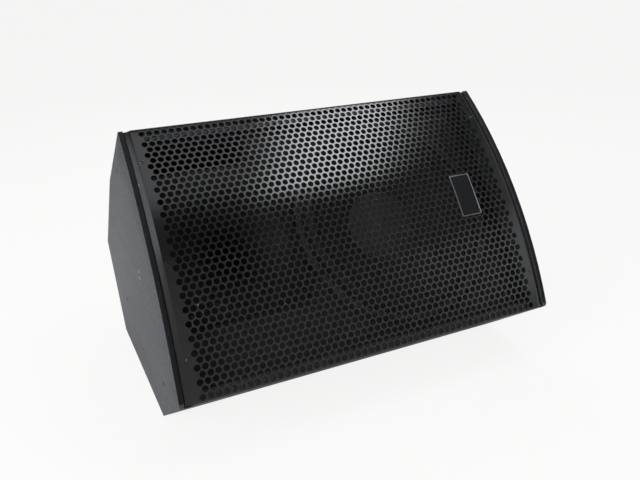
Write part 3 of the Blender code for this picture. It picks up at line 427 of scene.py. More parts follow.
@dataclass(frozen=True)
class Moulding(Finish):
    """Moulded plastic or rubber with a fine eroded grain."""

    base: Colour = (0.017, 0.017, 0.018)
    worn: Colour = (0.045, 0.045, 0.047)
    rough: float = 0.48
    grain: float = 900.0
    depth: float = 0.0003
    gloss: float = 0.5

    def lay(self, coat: Coat) -> bpy.types.Material:
        """Lays out the finish's nodes and gives the material."""
        pits = coat.cells(self.grain)
        fine = coat.noise(self.grain * 2.2, 2.0)
        cloud = coat.noise(22.0, 4.0, 0.6)
        colour = coat.blend(coat.rise(cloud, 0.45, 0.75) * 0.6, self.base, self.worn)
        roughness = self.rough + 0.16 * (cloud - 0.5) + 0.06 * (fine - 0.5)
        normal = coat.relief(pits * 0.7 + fine * 0.3, self.depth, 0.4)
        return coat.finish({"Base Color": colour, "Roughness": roughness, "Normal": normal,
                            "Specular IOR Level": self.gloss})


@dataclass(frozen=True)
class Pulp(Finish):
    """Pressed paper pulp with fibres."""

    base: Colour = (0.016, 0.016, 0.017)
    fibre: Colour = (0.060, 0.058, 0.055)
    gloss: float = 0.12

    def lay(self, coat: Coat) -> bpy.types.Material:
        """Lays out the finish's nodes and gives the material."""
        across = coat.noise(420.0, 4.0, 0.65, coat.stretched((1.0, 1.0, 0.12)))
        down = coat.noise(420.0, 4.0, 0.65, coat.stretched((0.12, 1.0, 1.0)))
        felt = across * 0.5 + down * 0.5
        lint = coat.rise(across, 0.62, 0.74) | coat.rise(down, 0.62, 0.74)
        colour = coat.blend(lint * 0.4, self.base, self.fibre)
        roughness = 0.72 + 0.2 * (felt - 0.5)
        return coat.finish({"Base Color": colour, "Roughness": roughness,
                            "Normal": coat.relief(felt, 0.0005, 0.6), "Specular IOR Level": self.gloss})


@dataclass(frozen=True)
class Cloth(Finish):
    """Woven cloth under a dark dope."""

    base: Colour = (0.014, 0.014, 0.014)
    thread: Colour = (0.055, 0.053, 0.050)
    pitch: float = 0.0011
    gloss: float = 0.15

    def lay(self, coat: Coat) -> bpy.types.Material:
        """Lays out the finish's nodes and gives the material."""
        scale = 1.0 / (20.0 * self.pitch) * 2 * math.pi
        weave = coat.bands(scale, "X") * coat.bands(scale, "Z")
        dope = coat.noise(150.0, 3.0)
        colour = coat.blend(weave * 0.6, self.base, self.thread)
        roughness = 0.62 - 0.25 * coat.rise(dope, 0.5, 0.7)
        return coat.finish({"Base Color": colour, "Roughness": roughness,
                            "Normal": coat.relief(weave, 0.0004, 0.6), "Specular IOR Level": self.gloss})


@dataclass(frozen=True)
class Metal(Finish):
    """Plated or wound metal with fine lines and a little tarnish."""

    base: Colour
    tarnish: Colour
    rough: float = 0.32
    lines: float = 1400.0
    stretch: Point = (1.0, 0.05, 1.0)

    def lay(self, coat: Coat) -> bpy.types.Material:
        """Lays out the finish's nodes and gives the material."""
        line = coat.noise(self.lines, 2.0, 0.5, coat.stretched(self.stretch))
        cloud = coat.noise(60.0, 4.0, 0.6)
        colour = coat.blend(coat.rise(cloud, 0.45, 0.75), self.base, self.tarnish)
        roughness = self.rough + 0.18 * (line - 0.5) + 0.2 * (cloud - 0.5)
        return coat.finish({"Base Color": colour, "Roughness": roughness, "Metallic": 1.0,
                            "Normal": coat.relief(line, 0.0001, 0.3)})


@dataclass(frozen=True)
class Timber(Finish):
    """Board with a grain along x, bare or under thin paint."""

    early: Colour
    late: Colour
    rough: float = 0.7
    grain: float = 160.0
    depth: float = 0.0003
    gloss: float = 0.4

    def lay(self, coat: Coat) -> bpy.types.Material:
        """Lays out the finish's nodes and gives the material."""
        along = coat.stretched((0.06, 1.0, 1.0), (0.0, 0.0, 0.03))
        grain = coat.noise(self.grain, 5.0, 0.6, along)
        pores = coat.noise(self.grain * 7, 2.0, 0.5, along)
        cloud = coat.noise(10.0, 3.0)
        colour = coat.blend(coat.rise(grain, 0.35, 0.68), self.early, self.late)
        roughness = self.rough + 0.15 * (pores - 0.5) + 0.15 * (cloud - 0.5)
        normal = coat.relief(grain * 0.5 + pores * 0.5, self.depth, 0.5)
        return coat.finish({"Base Color": colour, "Roughness": roughness, "Normal": normal,
                            "Specular IOR Level": self.gloss})


@dataclass(frozen=True)
class Ceramic(Finish):
    """Fired or sintered body, dull and slightly pitted."""

    base: Colour
    pale: Colour
    rough: float = 0.7

    def lay(self, coat: Coat) -> bpy.types.Material:
        """Lays out the finish's nodes and gives the material."""
        pits = coat.noise(700.0, 3.0, 0.6)
        cloud = coat.noise(55.0, 4.0)
        colour = coat.blend(coat.rise(cloud, 0.35, 0.7), self.base, self.pale)
        roughness = self.rough + 0.2 * (pits - 0.5)
        return coat.finish({"Base Color": colour, "Roughness": roughness,
                            "Normal": coat.relief(pits, 0.0002, 0.5)})


@dataclass(frozen=True)
class FloorPaper(Finish):
    """Pale studio paper. Seen straight it holds most of its own brightness, and in a gloss a little of it."""

    base: Colour = (0.86, 0.855, 0.85)
    fleck: Colour = (0.83, 0.825, 0.82)
    glow: Colour = (0.995, 0.99, 0.985)
    own: float = 0.885
    gleam: float = 0.04

    def lay(self, coat: Coat) -> bpy.types.Material:
        """Lays out the finish's nodes and gives the material."""
        fleck = coat.noise(30.0, 3.0)
        colour = coat.blend(fleck * 0.3, self.base, self.fleck)
        coat.finish({"Base Color": colour, "Roughness": 0.9 + 0.1 * (fleck - 0.5)})
        path = coat.node("ShaderNodeLightPath")
        seen = Tone(coat, path.outputs["Is Camera Ray"]) | Tone(coat, path.outputs["Is Transmission Ray"])
        seen = seen * self.own | Tone(coat, path.outputs["Is Glossy Ray"]) * self.gleam
        glow = coat.node("ShaderNodeEmission", None, {"Color": self.glow, "Strength": 1.0})
        mixed = coat.node("ShaderNodeMixShader", None,
                          {0: seen, 1: coat.shader.outputs[0], 2: glow.outputs[0]})
        output = coat.tree.nodes["Material Output"]
        coat.feed(output.inputs["Surface"], mixed.outputs[0])
        return coat.material


CABINET_BLACK = RollerPaint("cabinet_black", marks=(
    (WEDGE.spot(-0.279, 0.0834, 0.1901), 0.0031), (WEDGE.spot(-0.279, 0.0863, 0.1823), 0.0026)))
CABINET_EDGE = RollerPaint("cabinet_edge", dark=(0.018, 0.0185, 0.020), dusty=(0.030, 0.031, 0.033), rubbed=0.22)
# Painted shade: a darker copy of the cabinet paint for the end boards' front-facing lip faces, which stand for the
# front edges getting less light.
CABINET_LIP_SHADE = RollerPaint("cabinet_lip_painted_shade", (0.008, 0.008, 0.009), (0.016, 0.016, 0.017), rough=0.55, chips=0.5,
                          gloss=0.14)
GRILLE_BLACK = PowderCoat("grille_black", marks=(
    (WEDGE.spot(-0.2704, *WEDGE.on_bow(0.2807, 0.0024)), 0.0016), (WEDGE.spot(-0.234, *WEDGE.on_bow(0.1146)), 0.0012)))
FRAME_BLACK = PowderCoat("frame_black", rough=0.40, peel=800.0, gloss=0.2)
BAFFLE_BLACK = Timber("baffle_black", (0.017, 0.017, 0.0175), (0.027, 0.027, 0.028), 0.78, gloss=0.2)
BIRCH = Timber("birch_ply", (0.50, 0.36, 0.21), (0.36, 0.23, 0.12), 0.68)
CONE_PULP = Pulp("cone_pulp", (0.020, 0.020, 0.021), (0.060, 0.058, 0.055))
CAP_PULP = Pulp("cap_pulp", (0.042, 0.042, 0.044), (0.11, 0.107, 0.102))
DOPED_CLOTH = Cloth("doped_cloth", (0.016, 0.016, 0.016), (0.050, 0.049, 0.046))
GASKET_FOAM = Moulding("gasket_foam", (0.034, 0.034, 0.034), (0.058, 0.058, 0.058), 0.85, 1500.0, 0.0005, 0.2)
FERRITE = Ceramic("ferrite", (0.030, 0.030, 0.032), (0.055, 0.055, 0.058))
ZINC = Metal("zinc_plate", (0.62, 0.61, 0.58), (0.44, 0.42, 0.37))
BLACK_SCREW = Metal("black_screw", (0.035, 0.035, 0.037), (0.018, 0.018, 0.019), 0.38)
MOULDED_BLACK = Moulding("moulded_black")
HORN_BLACK = Moulding("horn_black", (0.0085, 0.0085, 0.009), (0.015, 0.015, 0.016), 0.55, gloss=0.14)
SOCKET_BLACK = Moulding("socket_black", (0.012, 0.012, 0.013), (0.030, 0.030, 0.032), 0.30, 1600.0, 0.0001)
TITANIUM = Metal("titanium_foil", (0.06, 0.058, 0.056), (0.04, 0.038, 0.036), 0.5)
COPPER = Metal("copper_winding", (0.72, 0.32, 0.16), (0.42, 0.17, 0.08), 0.34, 2600.0, (0.1, 1.0, 0.1))
FIBREBOARD = Timber("fibreboard", (0.20, 0.13, 0.06), (0.15, 0.09, 0.04), 0.75, 320.0)
CAPACITOR_FILM = Moulding("capacitor_film", (0.30, 0.05, 0.03), (0.36, 0.08, 0.05), 0.22, 500.0, 0.0001)
RESISTOR_CERAMIC = Ceramic("resistor_ceramic", (0.62, 0.60, 0.55), (0.72, 0.70, 0.66))
RUBBER = Moulding("foot_rubber", (0.019, 0.019, 0.019), (0.055, 0.053, 0.050), 0.78, 600.0, 0.0004)
PLATE_FIELD = PowderCoat("plate_field", (0.008, 0.0085, 0.010), (0.016, 0.017, 0.020), rough=0.30, peel=900.0,
                         spots=0.2, gloss=0.25)
PLATE_RIM = Metal("plate_rim", (0.25, 0.25, 0.255), (0.16, 0.16, 0.165), 0.32)
STUDIO_PAPER = FloorPaper("studio_paper")

SLOT_FINISHES: dict[Slot, Finish] = {
    Slot.CABINET_PAINT: CABINET_BLACK,
    Slot.GRILLE_PAINT: GRILLE_BLACK,
    Slot.BAFFLE_PAINT: BAFFLE_BLACK,
    Slot.BARE_PLYWOOD: BIRCH,
    Slot.FRAME_PAINT: FRAME_BLACK,
    Slot.PAPER_CONE: CONE_PULP,
    Slot.TREATED_CLOTH: DOPED_CLOTH,
    Slot.GASKET_FOAM: GASKET_FOAM,
    Slot.FERRITE: FERRITE,
    Slot.PLATED_STEEL: ZINC,
    Slot.MOULDED_BLACK: MOULDED_BLACK,
    Slot.TITANIUM: TITANIUM,
    Slot.COPPER: COPPER,
    Slot.FIBREBOARD: FIBREBOARD,
    Slot.CAPACITOR_FILM: CAPACITOR_FILM,
    Slot.RESISTOR_CERAMIC: RESISTOR_CERAMIC,
    Slot.RUBBER: RUBBER,
    Slot.PLATE_ENAMEL: PLATE_FIELD,
}


class Bench:
    """The modelling steps that the pieces share, each done with Blender's own operators."""

    @staticmethod
    def clear() -> None:
        """Leaves edit mode and deselects everything."""
        if bpy.context.mode != "OBJECT":
            bpy.ops.object.mode_set(mode="OBJECT")
        bpy.ops.object.select_all(action="DESELECT")

    @staticmethod
    def select(piece: bpy.types.Object) -> None:
        """Selects one piece alone, in object mode."""
        Bench.clear()
        piece.select_set(True)
        bpy.context.view_layer.objects.active = piece

    @staticmethod
    def edit(piece: bpy.types.Object) -> None:
        """Opens one piece alone in edit mode, with all of it selected."""
        Bench.select(piece)
        bpy.ops.object.mode_set(mode="EDIT")
        bpy.ops.mesh.select_mode(type="VERT")
        bpy.ops.mesh.select_all(action="SELECT")

    @staticmethod
    def start(add: Callable[..., set[str]], **sizes: Any) -> bpy.types.Object:
        """Adds a primitive and opens it in edit mode.

        Args:
            add: The operator that adds the primitive.
            sizes: The operator's sizes.

        Returns:
            The new object.
        """
        Bench.clear()
        add(**sizes)
        piece = bpy.context.active_object
        Bench.edit(piece)
        return piece

    @staticmethod
    def pick(piece: bpy.types.Object, kind: Kind, test: Callable[[Any], bool]) -> None:
        """Selects only what passes a test, in edit mode.

        Args:
            piece: The piece that is open.
            kind: Whether vertices, edges or faces are tested.
            test: Says whether an element is selected.
        """
        bpy.ops.mesh.select_all(action="DESELECT")
        bpy.ops.mesh.select_mode(type=kind.value)
        mesh = bmesh.from_edit_mesh(piece.data)
        elements = {Kind.VERTS: mesh.verts, Kind.EDGES: mesh.edges, Kind.FACES: mesh.faces}[kind]
        for element in [element for element in elements if test(element)]:
            element.select_set(True)
        mesh.select_flush_mode()
        bmesh.update_edit_mesh(piece.data)

    @staticmethod
    def tidy() -> None:
        """Merges doubles and turns all faces outwards, in edit mode."""
        bpy.ops.mesh.select_mode(type="VERT")
        bpy.ops.mesh.select_all(action="SELECT")
        bpy.ops.mesh.remove_doubles(threshold=MERGE)
        bpy.ops.mesh.normals_make_consistent(inside=False)

    @staticmethod
    def close(piece: bpy.types.Object, name: str, place: Matrix | None = None,
              smooth: float | None = None) -> bpy.types.Object:
        """Ends the editing of a piece, with its place in its mesh.

        Args:
            piece: The piece.
            name: Its name.
            place: Where its own axes lie in the part.
            smooth: The angle in degrees below which its edges are shaded smooth.

        Returns:
            The same piece.
        """
        Bench.select(piece)
        if place is not None:
            piece.matrix_world = place @ piece.matrix_world
        bpy.ops.object.transform_apply(location=True, rotation=True, scale=True)
        if smooth is None:
            bpy.ops.object.shade_flat()
        else:
            bpy.ops.object.shade_smooth_by_angle(angle=math.radians(smooth))
        piece.name = name
        piece.data.name = name
        return piece

    @staticmethod
    def modify(piece: bpy.types.Object, kind: str, **settings: Any) -> None:
        """Adds a modifier with its settings and applies it."""
        Bench.select(piece)
        modifier = piece.modifiers.new(kind.lower(), kind)
        for name, value in settings.items():
            setattr(modifier, name, value)
        bpy.ops.object.modifier_apply(modifier=modifier.name)

    @staticmethod
    def cut(piece: bpy.types.Object, cutter: bpy.types.Object) -> None:
        """Cuts one piece with another, which is then removed."""
        Bench.modify(piece, "BOOLEAN", operation="DIFFERENCE", solver="EXACT", object=cutter)
        bpy.data.objects.remove(cutter)

    @staticmethod
    def line(points: Sequence[Point], closed: bool) -> bpy.types.Object:
        """Draws a line by extruding one point.

        Args:
            points: The line's corners.
            closed: Whether the last corner joins the first.

        Returns:
            The line, open in edit mode with all of it selected.
        """
        piece = Bench.start(bpy.ops.mesh.primitive_plane_add, size=0.001)
        bpy.ops.mesh.merge(type="CENTER")
        bpy.ops.transform.translate(value=points[0])
        for before, after in zip(points, points[1:]):
            step = Vector(after) - Vector(before)
            bpy.ops.mesh.extrude_region_move(TRANSFORM_OT_translate={"value": step})
        if closed:
            ends = (0, len(points) - 1)
            Bench.pick(piece, Kind.VERTS, lambda vert: vert.index in ends)
            bpy.ops.mesh.edge_face_add()
        bpy.ops.mesh.select_mode(type="VERT")
        bpy.ops.mesh.select_all(action="SELECT")
        return piece

    @staticmethod
    def turn(profile: Sequence[Flat], steps: int, centre: Flat = (0.0, 0.0),
             closed: bool = True) -> bpy.types.Object:
        """Turns a profile about an axis along y.

        Args:
            profile: Corners of the profile, each a radius and a depth.
            steps: How many faces go round.
            centre: The axis's x and z.
            closed: Whether the last corner joins the first.

        Returns:
            The turned piece, open in edit mode.
        """
        points = [(centre[0] + radius, depth, centre[1]) for radius, depth in profile]
        piece = Bench.line(points, closed)
        bpy.ops.mesh.spin(steps=steps, angle=2 * math.pi, center=(centre[0], 0.0, centre[1]), axis=(0.0, 1.0, 0.0))
        Bench.tidy()
        return piece

    @staticmethod
    def prism(outline: Sequence[Point], along: Point) -> bpy.types.Object:
        """Fills an outline and extrudes it.

        Args:
            outline: Corners of the flat outline.
            along: How far it is extruded.

        Returns:
            The solid, open in edit mode.
        """
        piece = Bench.line(outline, True)
        bpy.ops.mesh.edge_face_add()
        bpy.ops.mesh.extrude_region_move(TRANSFORM_OT_translate={"value": along})
        Bench.tidy()
        return piece

    @staticmethod
    def loft(rings: Sequence[Sequence[Point]]) -> bpy.types.Object:
        """Extrudes a ring from place to place and joins the last place to the first.

        Args:
            rings: Places of the ring, with as many points in each, in the same order.

        Returns:
            The lofted piece, open in edit mode.
        """
        piece = Bench.line(rings[0], True)
        for before, after in zip(rings, rings[1:]):
            bpy.ops.mesh.extrude_region_move(TRANSFORM_OT_translate={"value": (0.0, 0.0, 0.0)})
            mesh = bmesh.from_edit_mesh(piece.data)
            for vert in [vert for vert in mesh.verts if vert.select]:
                nearest = min(range(len(before)), key=lambda i: (vert.co - Vector(before[i])).length_squared)
                vert.co = after[nearest]
            bmesh.update_edit_mesh(piece.data)
        Bench.pick(piece, Kind.EDGES, lambda edge: edge.is_boundary)
        bpy.ops.mesh.bridge_edge_loops()
        Bench.tidy()
        return piece

    @staticmethod
    def node_copy(node: str) -> bpy.types.Object:
        """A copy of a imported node's mesh, merged and with its flat faces joined, open in edit mode."""
        Bench.clear()
        piece = bpy.data.objects.new(node + "_copy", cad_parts[node].data.copy())
        bpy.context.scene.collection.objects.link(piece)
        piece.data.materials.clear()
        Bench.edit(piece)
        bpy.ops.mesh.customdata_custom_splitnormals_clear()
        bpy.ops.mesh.remove_doubles(threshold=NEAR)
        bpy.ops.mesh.dissolve_limited(angle_limit=math.radians(0.4))
        return piece

    @staticmethod
    def twin(piece: bpy.types.Object, name: str, place: Matrix) -> bpy.types.Object:
        """A copy of a piece with its own mesh, moved to a place."""
        Bench.clear()
        copy = bpy.data.objects.new(name, piece.data.copy())
        bpy.context.scene.collection.objects.link(copy)
        copy.matrix_world = place
        Bench.select(copy)
        bpy.ops.object.transform_apply(location=True, rotation=True, scale=True)
        return copy


def seat(piece: bpy.types.Object, body: Body, finishes: Sequence[Finish],
         nodes: Sequence[str] = ()) -> bpy.types.Object:
    """Dresses a piece and sets it on its body.

    Args:
        piece: The piece, with its place in its mesh.
        body: The body that it rides on.
        finishes: Its finishes, one for each material index.
        nodes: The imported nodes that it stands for.

    Returns:
        The same piece.
    """
    piece.data.materials.clear()
    for finish in finishes:
        piece.data.materials.append(paint(finish))
    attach(piece, body.value)
    if nodes:
        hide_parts(*nodes)
    LOG.info("%s rides on %s", piece.name, body.value)
    return piece


def rounded(half_x: float, half_z: float, radius: float, steps: int = 6) -> list[Flat]:
    """A rectangle's outline with round corners.

    Args:
        half_x: Half its width.
        half_z: Half its height.
        radius: Its corners' radius.
        steps: How many edges each corner has.

    Returns:
        The outline's corners, anticlockwise.
    """
    outline = []
    for turn, (x, z) in enumerate(((1, 1), (-1, 1), (-1, -1), (1, -1))):
        for step in range(steps + 1):
            angle = math.pi / 2 * (turn + step / steps)
            outline.append((x * (half_x - radius) + radius * math.cos(angle),
                            z * (half_z - radius) + radius * math.sin(angle)))
    return outline


@dataclass
class Screw:
    """A pan head with a cross recess. It looks along -y, with its seat at y = 0."""

    radius: float = 0.0036
    height: float = 0.0020
    slot: float = 0.0011
    reach: float = 0.0021
    depth: float = 0.0012
    model: bpy.types.Object | None = field(default=None, init=False)

    def build(self) -> bpy.types.Object:
        """Models the head once and gives it."""
        dome = [(0.0, -self.height), (self.radius * 0.45, -self.height * 0.97),
                (self.radius * 0.78, -self.height * 0.80),
                (self.radius * 0.96, -self.height * 0.42), (self.radius, 0.0), (0.0, 0.0)]
        head = Bench.turn(dome, 16)
        for turn in (0.0, math.pi / 2):
            cutter = Bench.start(bpy.ops.mesh.primitive_cube_add, size=1.0)
            bpy.ops.transform.resize(value=(2 * self.reach, 2 * self.depth, self.slot))
            bpy.ops.transform.translate(value=(0.0, -self.height, 0.0))
            cutter = Bench.close(cutter, "recess_cutter", Matrix.Rotation(turn, 4, "Y"))
            Bench.cut(head, cutter)
        self.model = Bench.close(head, "screw_model", None, 40.0)
        return self.model

    def drive(self, name: str, where: Vector, facing: Vector, turn: float,
              finish: Finish) -> bpy.types.Object:
        """Sets one screw.

        Args:
            name: Its name.
            where: The point that its head sits on.
            facing: The direction in which the head looks.
            turn: How far it is turned in, in radians.
            finish: Its finish.

        Returns:
            The screw.
        """
        aim = facing.to_track_quat("-Y", "Z").to_matrix().to_4x4()
        place = Matrix.Translation(where) @ aim @ Matrix.Rotation(turn, 4, "Y")
        return seat(Bench.twin(self.model, name, place), Body.CABINET, [finish])

    def put_away(self) -> None:
        """Removes the model that the copies were made from."""
        bpy.data.objects.remove(self.model)


@dataclass
class Grille:
    """The perforated steel front, punched flat, then bowed, sloped at its ends and folded over top and toe."""

    pitch: float = 0.010
    row_step: float = 0.00872
    hole: float = 0.0041
    columns: int = 51
    long_rows: int = 21
    row_shift: float = -0.0011
    field_edge: float = 0.2635
    edge: float = 0.2725
    slope: float = 0.0035
    bend_share: float = 0.10
    sheet: float = 0.0012
    fold: float = 0.0016
    reach: float = 0.016
    screw_rows: tuple[float, ...] = (0.0537, 0.3123)
    screw_edge: float = 0.2592

    @property
    def first_row(self) -> float:
        """How far up the bow the lowest row of holes lies."""
        return WEDGE.length / 2 + self.row_shift - (self.long_rows - 1) * self.row_step

    @property
    def last_row(self) -> float:
        """How far up the bow the highest row of holes lies."""
        return WEDGE.length / 2 + self.row_shift + (self.long_rows - 1) * self.row_step

    @property
    def fold_turn(self) -> float:
        """The angle through which the sheet is folded back."""
        return math.pi / 2 - WEDGE.spread

    @property
    def fold_start(self) -> float:
        """How far before the bow's end the fold starts."""
        return self.fold * math.tan(self.fold_turn / 2)

    def cell(self) -> bpy.types.Object:
        """Models one six-sided cell with its round hole, open in edit mode."""
        piece = Bench.start(bpy.ops.mesh.primitive_circle_add, vertices=6, radius=self.pitch / math.sqrt(3))
        bpy.ops.transform.resize(value=(1.0, self.row_step * 2 / math.sqrt(3) / self.pitch, 1.0))
        bpy.ops.mesh.subdivide(number_cuts=1)
        bpy.ops.mesh.primitive_circle_add(vertices=12, radius=self.hole)
        bpy.ops.mesh.select_all(action="SELECT")
        bpy.ops.mesh.bridge_edge_loops()
        return piece

    def rows(self, first: Flat, columns: int, rows: int) -> bpy.types.Object:
        """Repeats the cell over every other row.

        Args:
            first: Where the first cell's middle lies.
            columns: How many cells a row has.
            rows: How many rows there are.

        Returns:
            The field of cells.
        """
        piece = self.cell()
        bpy.ops.mesh.select_all(action="SELECT")
        bpy.ops.transform.translate(value=(*first, 0.0))
        for count, step in ((columns, (self.pitch, 0.0, 0.0)), (rows, (0.0, 2 * self.row_step, 0.0))):
            Bench.modify(piece, "ARRAY", count=count, use_relative_offset=False, use_constant_offset=True,
                         constant_offset_displace=step, use_merge_vertices=True, merge_threshold=NEAR)
        return piece

    def spread_to(self, piece: bpy.types.Object, test: Callable[[Any], bool], axis: int,
                  stops: Sequence[float]) -> None:
        """Draws a border of the flat sheet out, first to a straight line and then from line to line.

        Args:
            piece: The sheet, open in edit mode.
            test: Picks the border's edges.
            axis: 0 for a border at a side, 1 for one at the top or bottom.
            stops: Where the lines lie on that axis.
        """
        rim = 2 * self.hole * math.sin(math.pi / 12)
        Bench.pick(piece, Kind.EDGES, lambda edge: edge.is_boundary and test(edge)
                   and abs(edge.calc_length() - rim) > 2 * NEAR)
        for stop in stops:
            bpy.ops.mesh.extrude_region_move(TRANSFORM_OT_translate={"value": (0.0, 0.0, 0.0)})
            flatten = [1.0, 1.0, 1.0]
            flatten[axis] = 0.0
            centre = [0.0, 0.0, 0.0]
            centre[axis] = stop
            bpy.ops.transform.resize(value=flatten, center_override=centre)

    def punch(self) -> bpy.types.Object:
        """Makes the flat blank with its holes and plain borders, open in edit mode."""
        left = -(self.columns - 1) / 2 * self.pitch
        long_rows = self.rows((left, self.first_row), self.columns, self.long_rows)
        short_rows = self.rows((left + self.pitch / 2, self.first_row + self.row_step), self.columns - 1,
                               self.long_rows - 1)
        Bench.select(long_rows)
        short_rows.select_set(True)
        bpy.ops.object.join()
        Bench.edit(long_rows)
        bpy.ops.mesh.remove_doubles(threshold=NEAR)
        low = self.first_row - self.row_step / 3 + NEAR
        high = self.last_row + self.row_step / 3 - NEAR
        inner = -left - NEAR
        width = self.edge - self.field_edge
        columns = [self.field_edge + width * share for share in (0.0, 0.03, 0.06, self.bend_share, 0.55, 1.0)]
        for side in (-1, 1):
            def at_side(edge: bmesh.types.BMEdge, side: int = side) -> bool:
                """Whether an edge lies on this side's border."""
                beside = all(vert.co.x * side > inner for vert in edge.verts)
                level = all(vert.co.y > high for vert in edge.verts) or all(vert.co.y < low for vert in edge.verts)
                return beside and not level
            self.spread_to(long_rows, at_side, 0, [side * x for x in columns])
        bend = [self.fold * self.fold_turn * share for share in (0.25, 0.5, 0.75, 1.0)]
        rest = self.reach - self.fold_start
        lines = [0.0] + bend + [bend[-1] + rest]
        for ends, sign, origin in ((high, 1, WEDGE.length - self.fold_start), (low, -1, self.fold_start)):
            def at_end(edge: bmesh.types.BMEdge, ends: float = ends, sign: int = sign) -> bool:
                """Whether an edge lies on this end's border."""
                return all(vert.co.y * sign > ends * sign for vert in edge.verts)
            def at_fold(edge: bmesh.types.BMEdge, origin: float = origin) -> bool:
                """Whether an edge lies on the fold line, clear of the sloped ends."""
                on_line = all(abs(vert.co.y - origin) < NEAR for vert in edge.verts)
                return on_line and all(abs(vert.co.x) < self.field_edge + NEAR for vert in edge.verts)
            self.spread_to(long_rows, at_end, 1, [origin])
            self.spread_to(long_rows, at_fold, 1, [origin + sign * line for line in lines[1:]])
        return long_rows

    def bend(self, x: float, along: float) -> Point:
        """Where a point of the flat blank ends up.

        Args:
            x: Its place across the blank.
            along: Its place up the blank.

        Returns:
            The point in the box's own axes.
        """
        share = max((abs(x) - self.field_edge) / (self.edge - self.field_edge), 0.0)
        bent = min(share, self.bend_share)
        drop = self.slope * (bent * bent / (2 * self.bend_share) + share - bent) / (1 - self.bend_share / 2)
        top = along > WEDGE.length / 2
        past = along - (WEDGE.length - self.fold_start) if top else self.fold_start - along
        if past <= 0.0 or share > 1e-4:
            return (x, *WEDGE.on_bow(along, drop))
        turned = min(past / self.fold, self.fold_turn)
        y, z = WEDGE.on_bow(WEDGE.length - self.fold_start)
        heading = math.pi / 2 - WEDGE.spread
        y += self.fold * (math.sin(heading) - math.sin(heading - turned))
        z += self.fold * (math.cos(heading - turned) - math.cos(heading))
        y += max(past - self.fold * self.fold_turn, 0.0)
        return (x, y, z if top else WEDGE.height - z)

    def build(self) -> bpy.types.Object:
        """Punches, bends and thickens the sheet, and sets it in place."""
        piece = self.punch()
        bpy.ops.mesh.select_all(action="SELECT")
        bpy.ops.mesh.normals_make_consistent(inside=False)
        mesh = bmesh.from_edit_mesh(piece.data)
        for vert in mesh.verts:
            vert.co = self.bend(vert.co.x, vert.co.y)
        mesh.normal_update()
        middle = min(mesh.faces, key=lambda face: abs(face.calc_center_median().z - WEDGE.height / 2))
        inside_out = middle.normal.y > 0
        bmesh.update_edit_mesh(piece.data)
        if inside_out:
            bpy.ops.mesh.flip_normals()
        Bench.select(piece)
        Bench.modify(piece, "SOLIDIFY", thickness=self.sheet, offset=-1.0, use_even_offset=False)
        Bench.close(piece, "grille_sheet", WEDGE.place, 32.0)
        return seat(piece, Body.CABINET, [GRILLE_BLACK], ["front_grille"])

    def fasten(self, screw: Screw) -> None:
        """Screws the sheet's plain borders down."""
        for side, label in ((-1, "left"), (1, "right")):
            for row, along in enumerate(self.screw_rows):
                where = WEDGE.place @ Vector((side * self.screw_edge, *WEDGE.on_bow(along, 0.0004)))
                screw.drive("grille_screw_%s_%d" % (label, row + 1), where, WEDGE.facing(along), 0.4 + 0.9 * row,
                            GRILLE_BLACK)


@dataclass
class Plate:
    """The bare plate on the grille: a dark field inside a thin raised rim."""

    middle: float = 0.1886
    rise: float = 0.0034
    width: float = 0.0335
    height: float = 0.0635
    sheet: float = 0.0015
    rim: float = 0.0009
    sunk: float = 0.0004

    def build(self) -> bpy.types.Object:
        """Models the plate, bends it to the bow and sets it on the grille."""
        piece = Bench.start(bpy.ops.mesh.primitive_cube_add, size=1.0)
        bpy.ops.transform.resize(value=(self.width, self.sheet, self.height))
        Bench.pick(piece, Kind.EDGES, lambda edge: abs(edge.verts[0].co.y - edge.verts[1].co.y) > NEAR)
        bpy.ops.mesh.bevel(offset=0.0012, segments=3, affect="EDGES")
        Bench.pick(piece, Kind.FACES, lambda face: face.normal.y < -0.9)
        bpy.ops.mesh.bevel(offset=0.0003, segments=2, affect="EDGES")
        Bench.pick(piece, Kind.FACES, lambda face: face.normal.y < -0.99)
        bpy.ops.mesh.inset(thickness=self.rim, depth=0.0)
        bpy.ops.mesh.inset(thickness=0.0002, depth=-self.sunk)
        field_faces = {face.index for face in bmesh.from_edit_mesh(piece.data).faces if face.select}
        Bench.select(piece)
        for face in piece.data.polygons:
            face.material_index = 1 if face.index in field_faces else 0
        Bench.edit(piece)
        for cut in range(-4, 5):
            bpy.ops.mesh.select_all(action="SELECT")
            bpy.ops.mesh.bisect(plane_co=(0.0, 0.0, cut * self.height / 10), plane_no=(0.0, 0.0, 1.0))
        mesh = bmesh.from_edit_mesh(piece.data)
        for vert in mesh.verts:
            y, z = WEDGE.on_bow(WEDGE.length / 2 + self.rise + vert.co.z, vert.co.y - self.sheet / 2 - WEDGE.gap)
            vert.co = (vert.co.x + self.middle, y, z)
        bmesh.update_edit_mesh(piece.data)
        indices = [face.material_index for face in mesh.faces]
        Bench.close(piece, "grille_badge_plate", WEDGE.place, 35.0)
        seat(piece, Body.CABINET, [PLATE_RIM, PLATE_FIELD], ["grille_plate"])
        for face, index in zip(piece.data.polygons, indices):
            face.material_index = index
        return piece


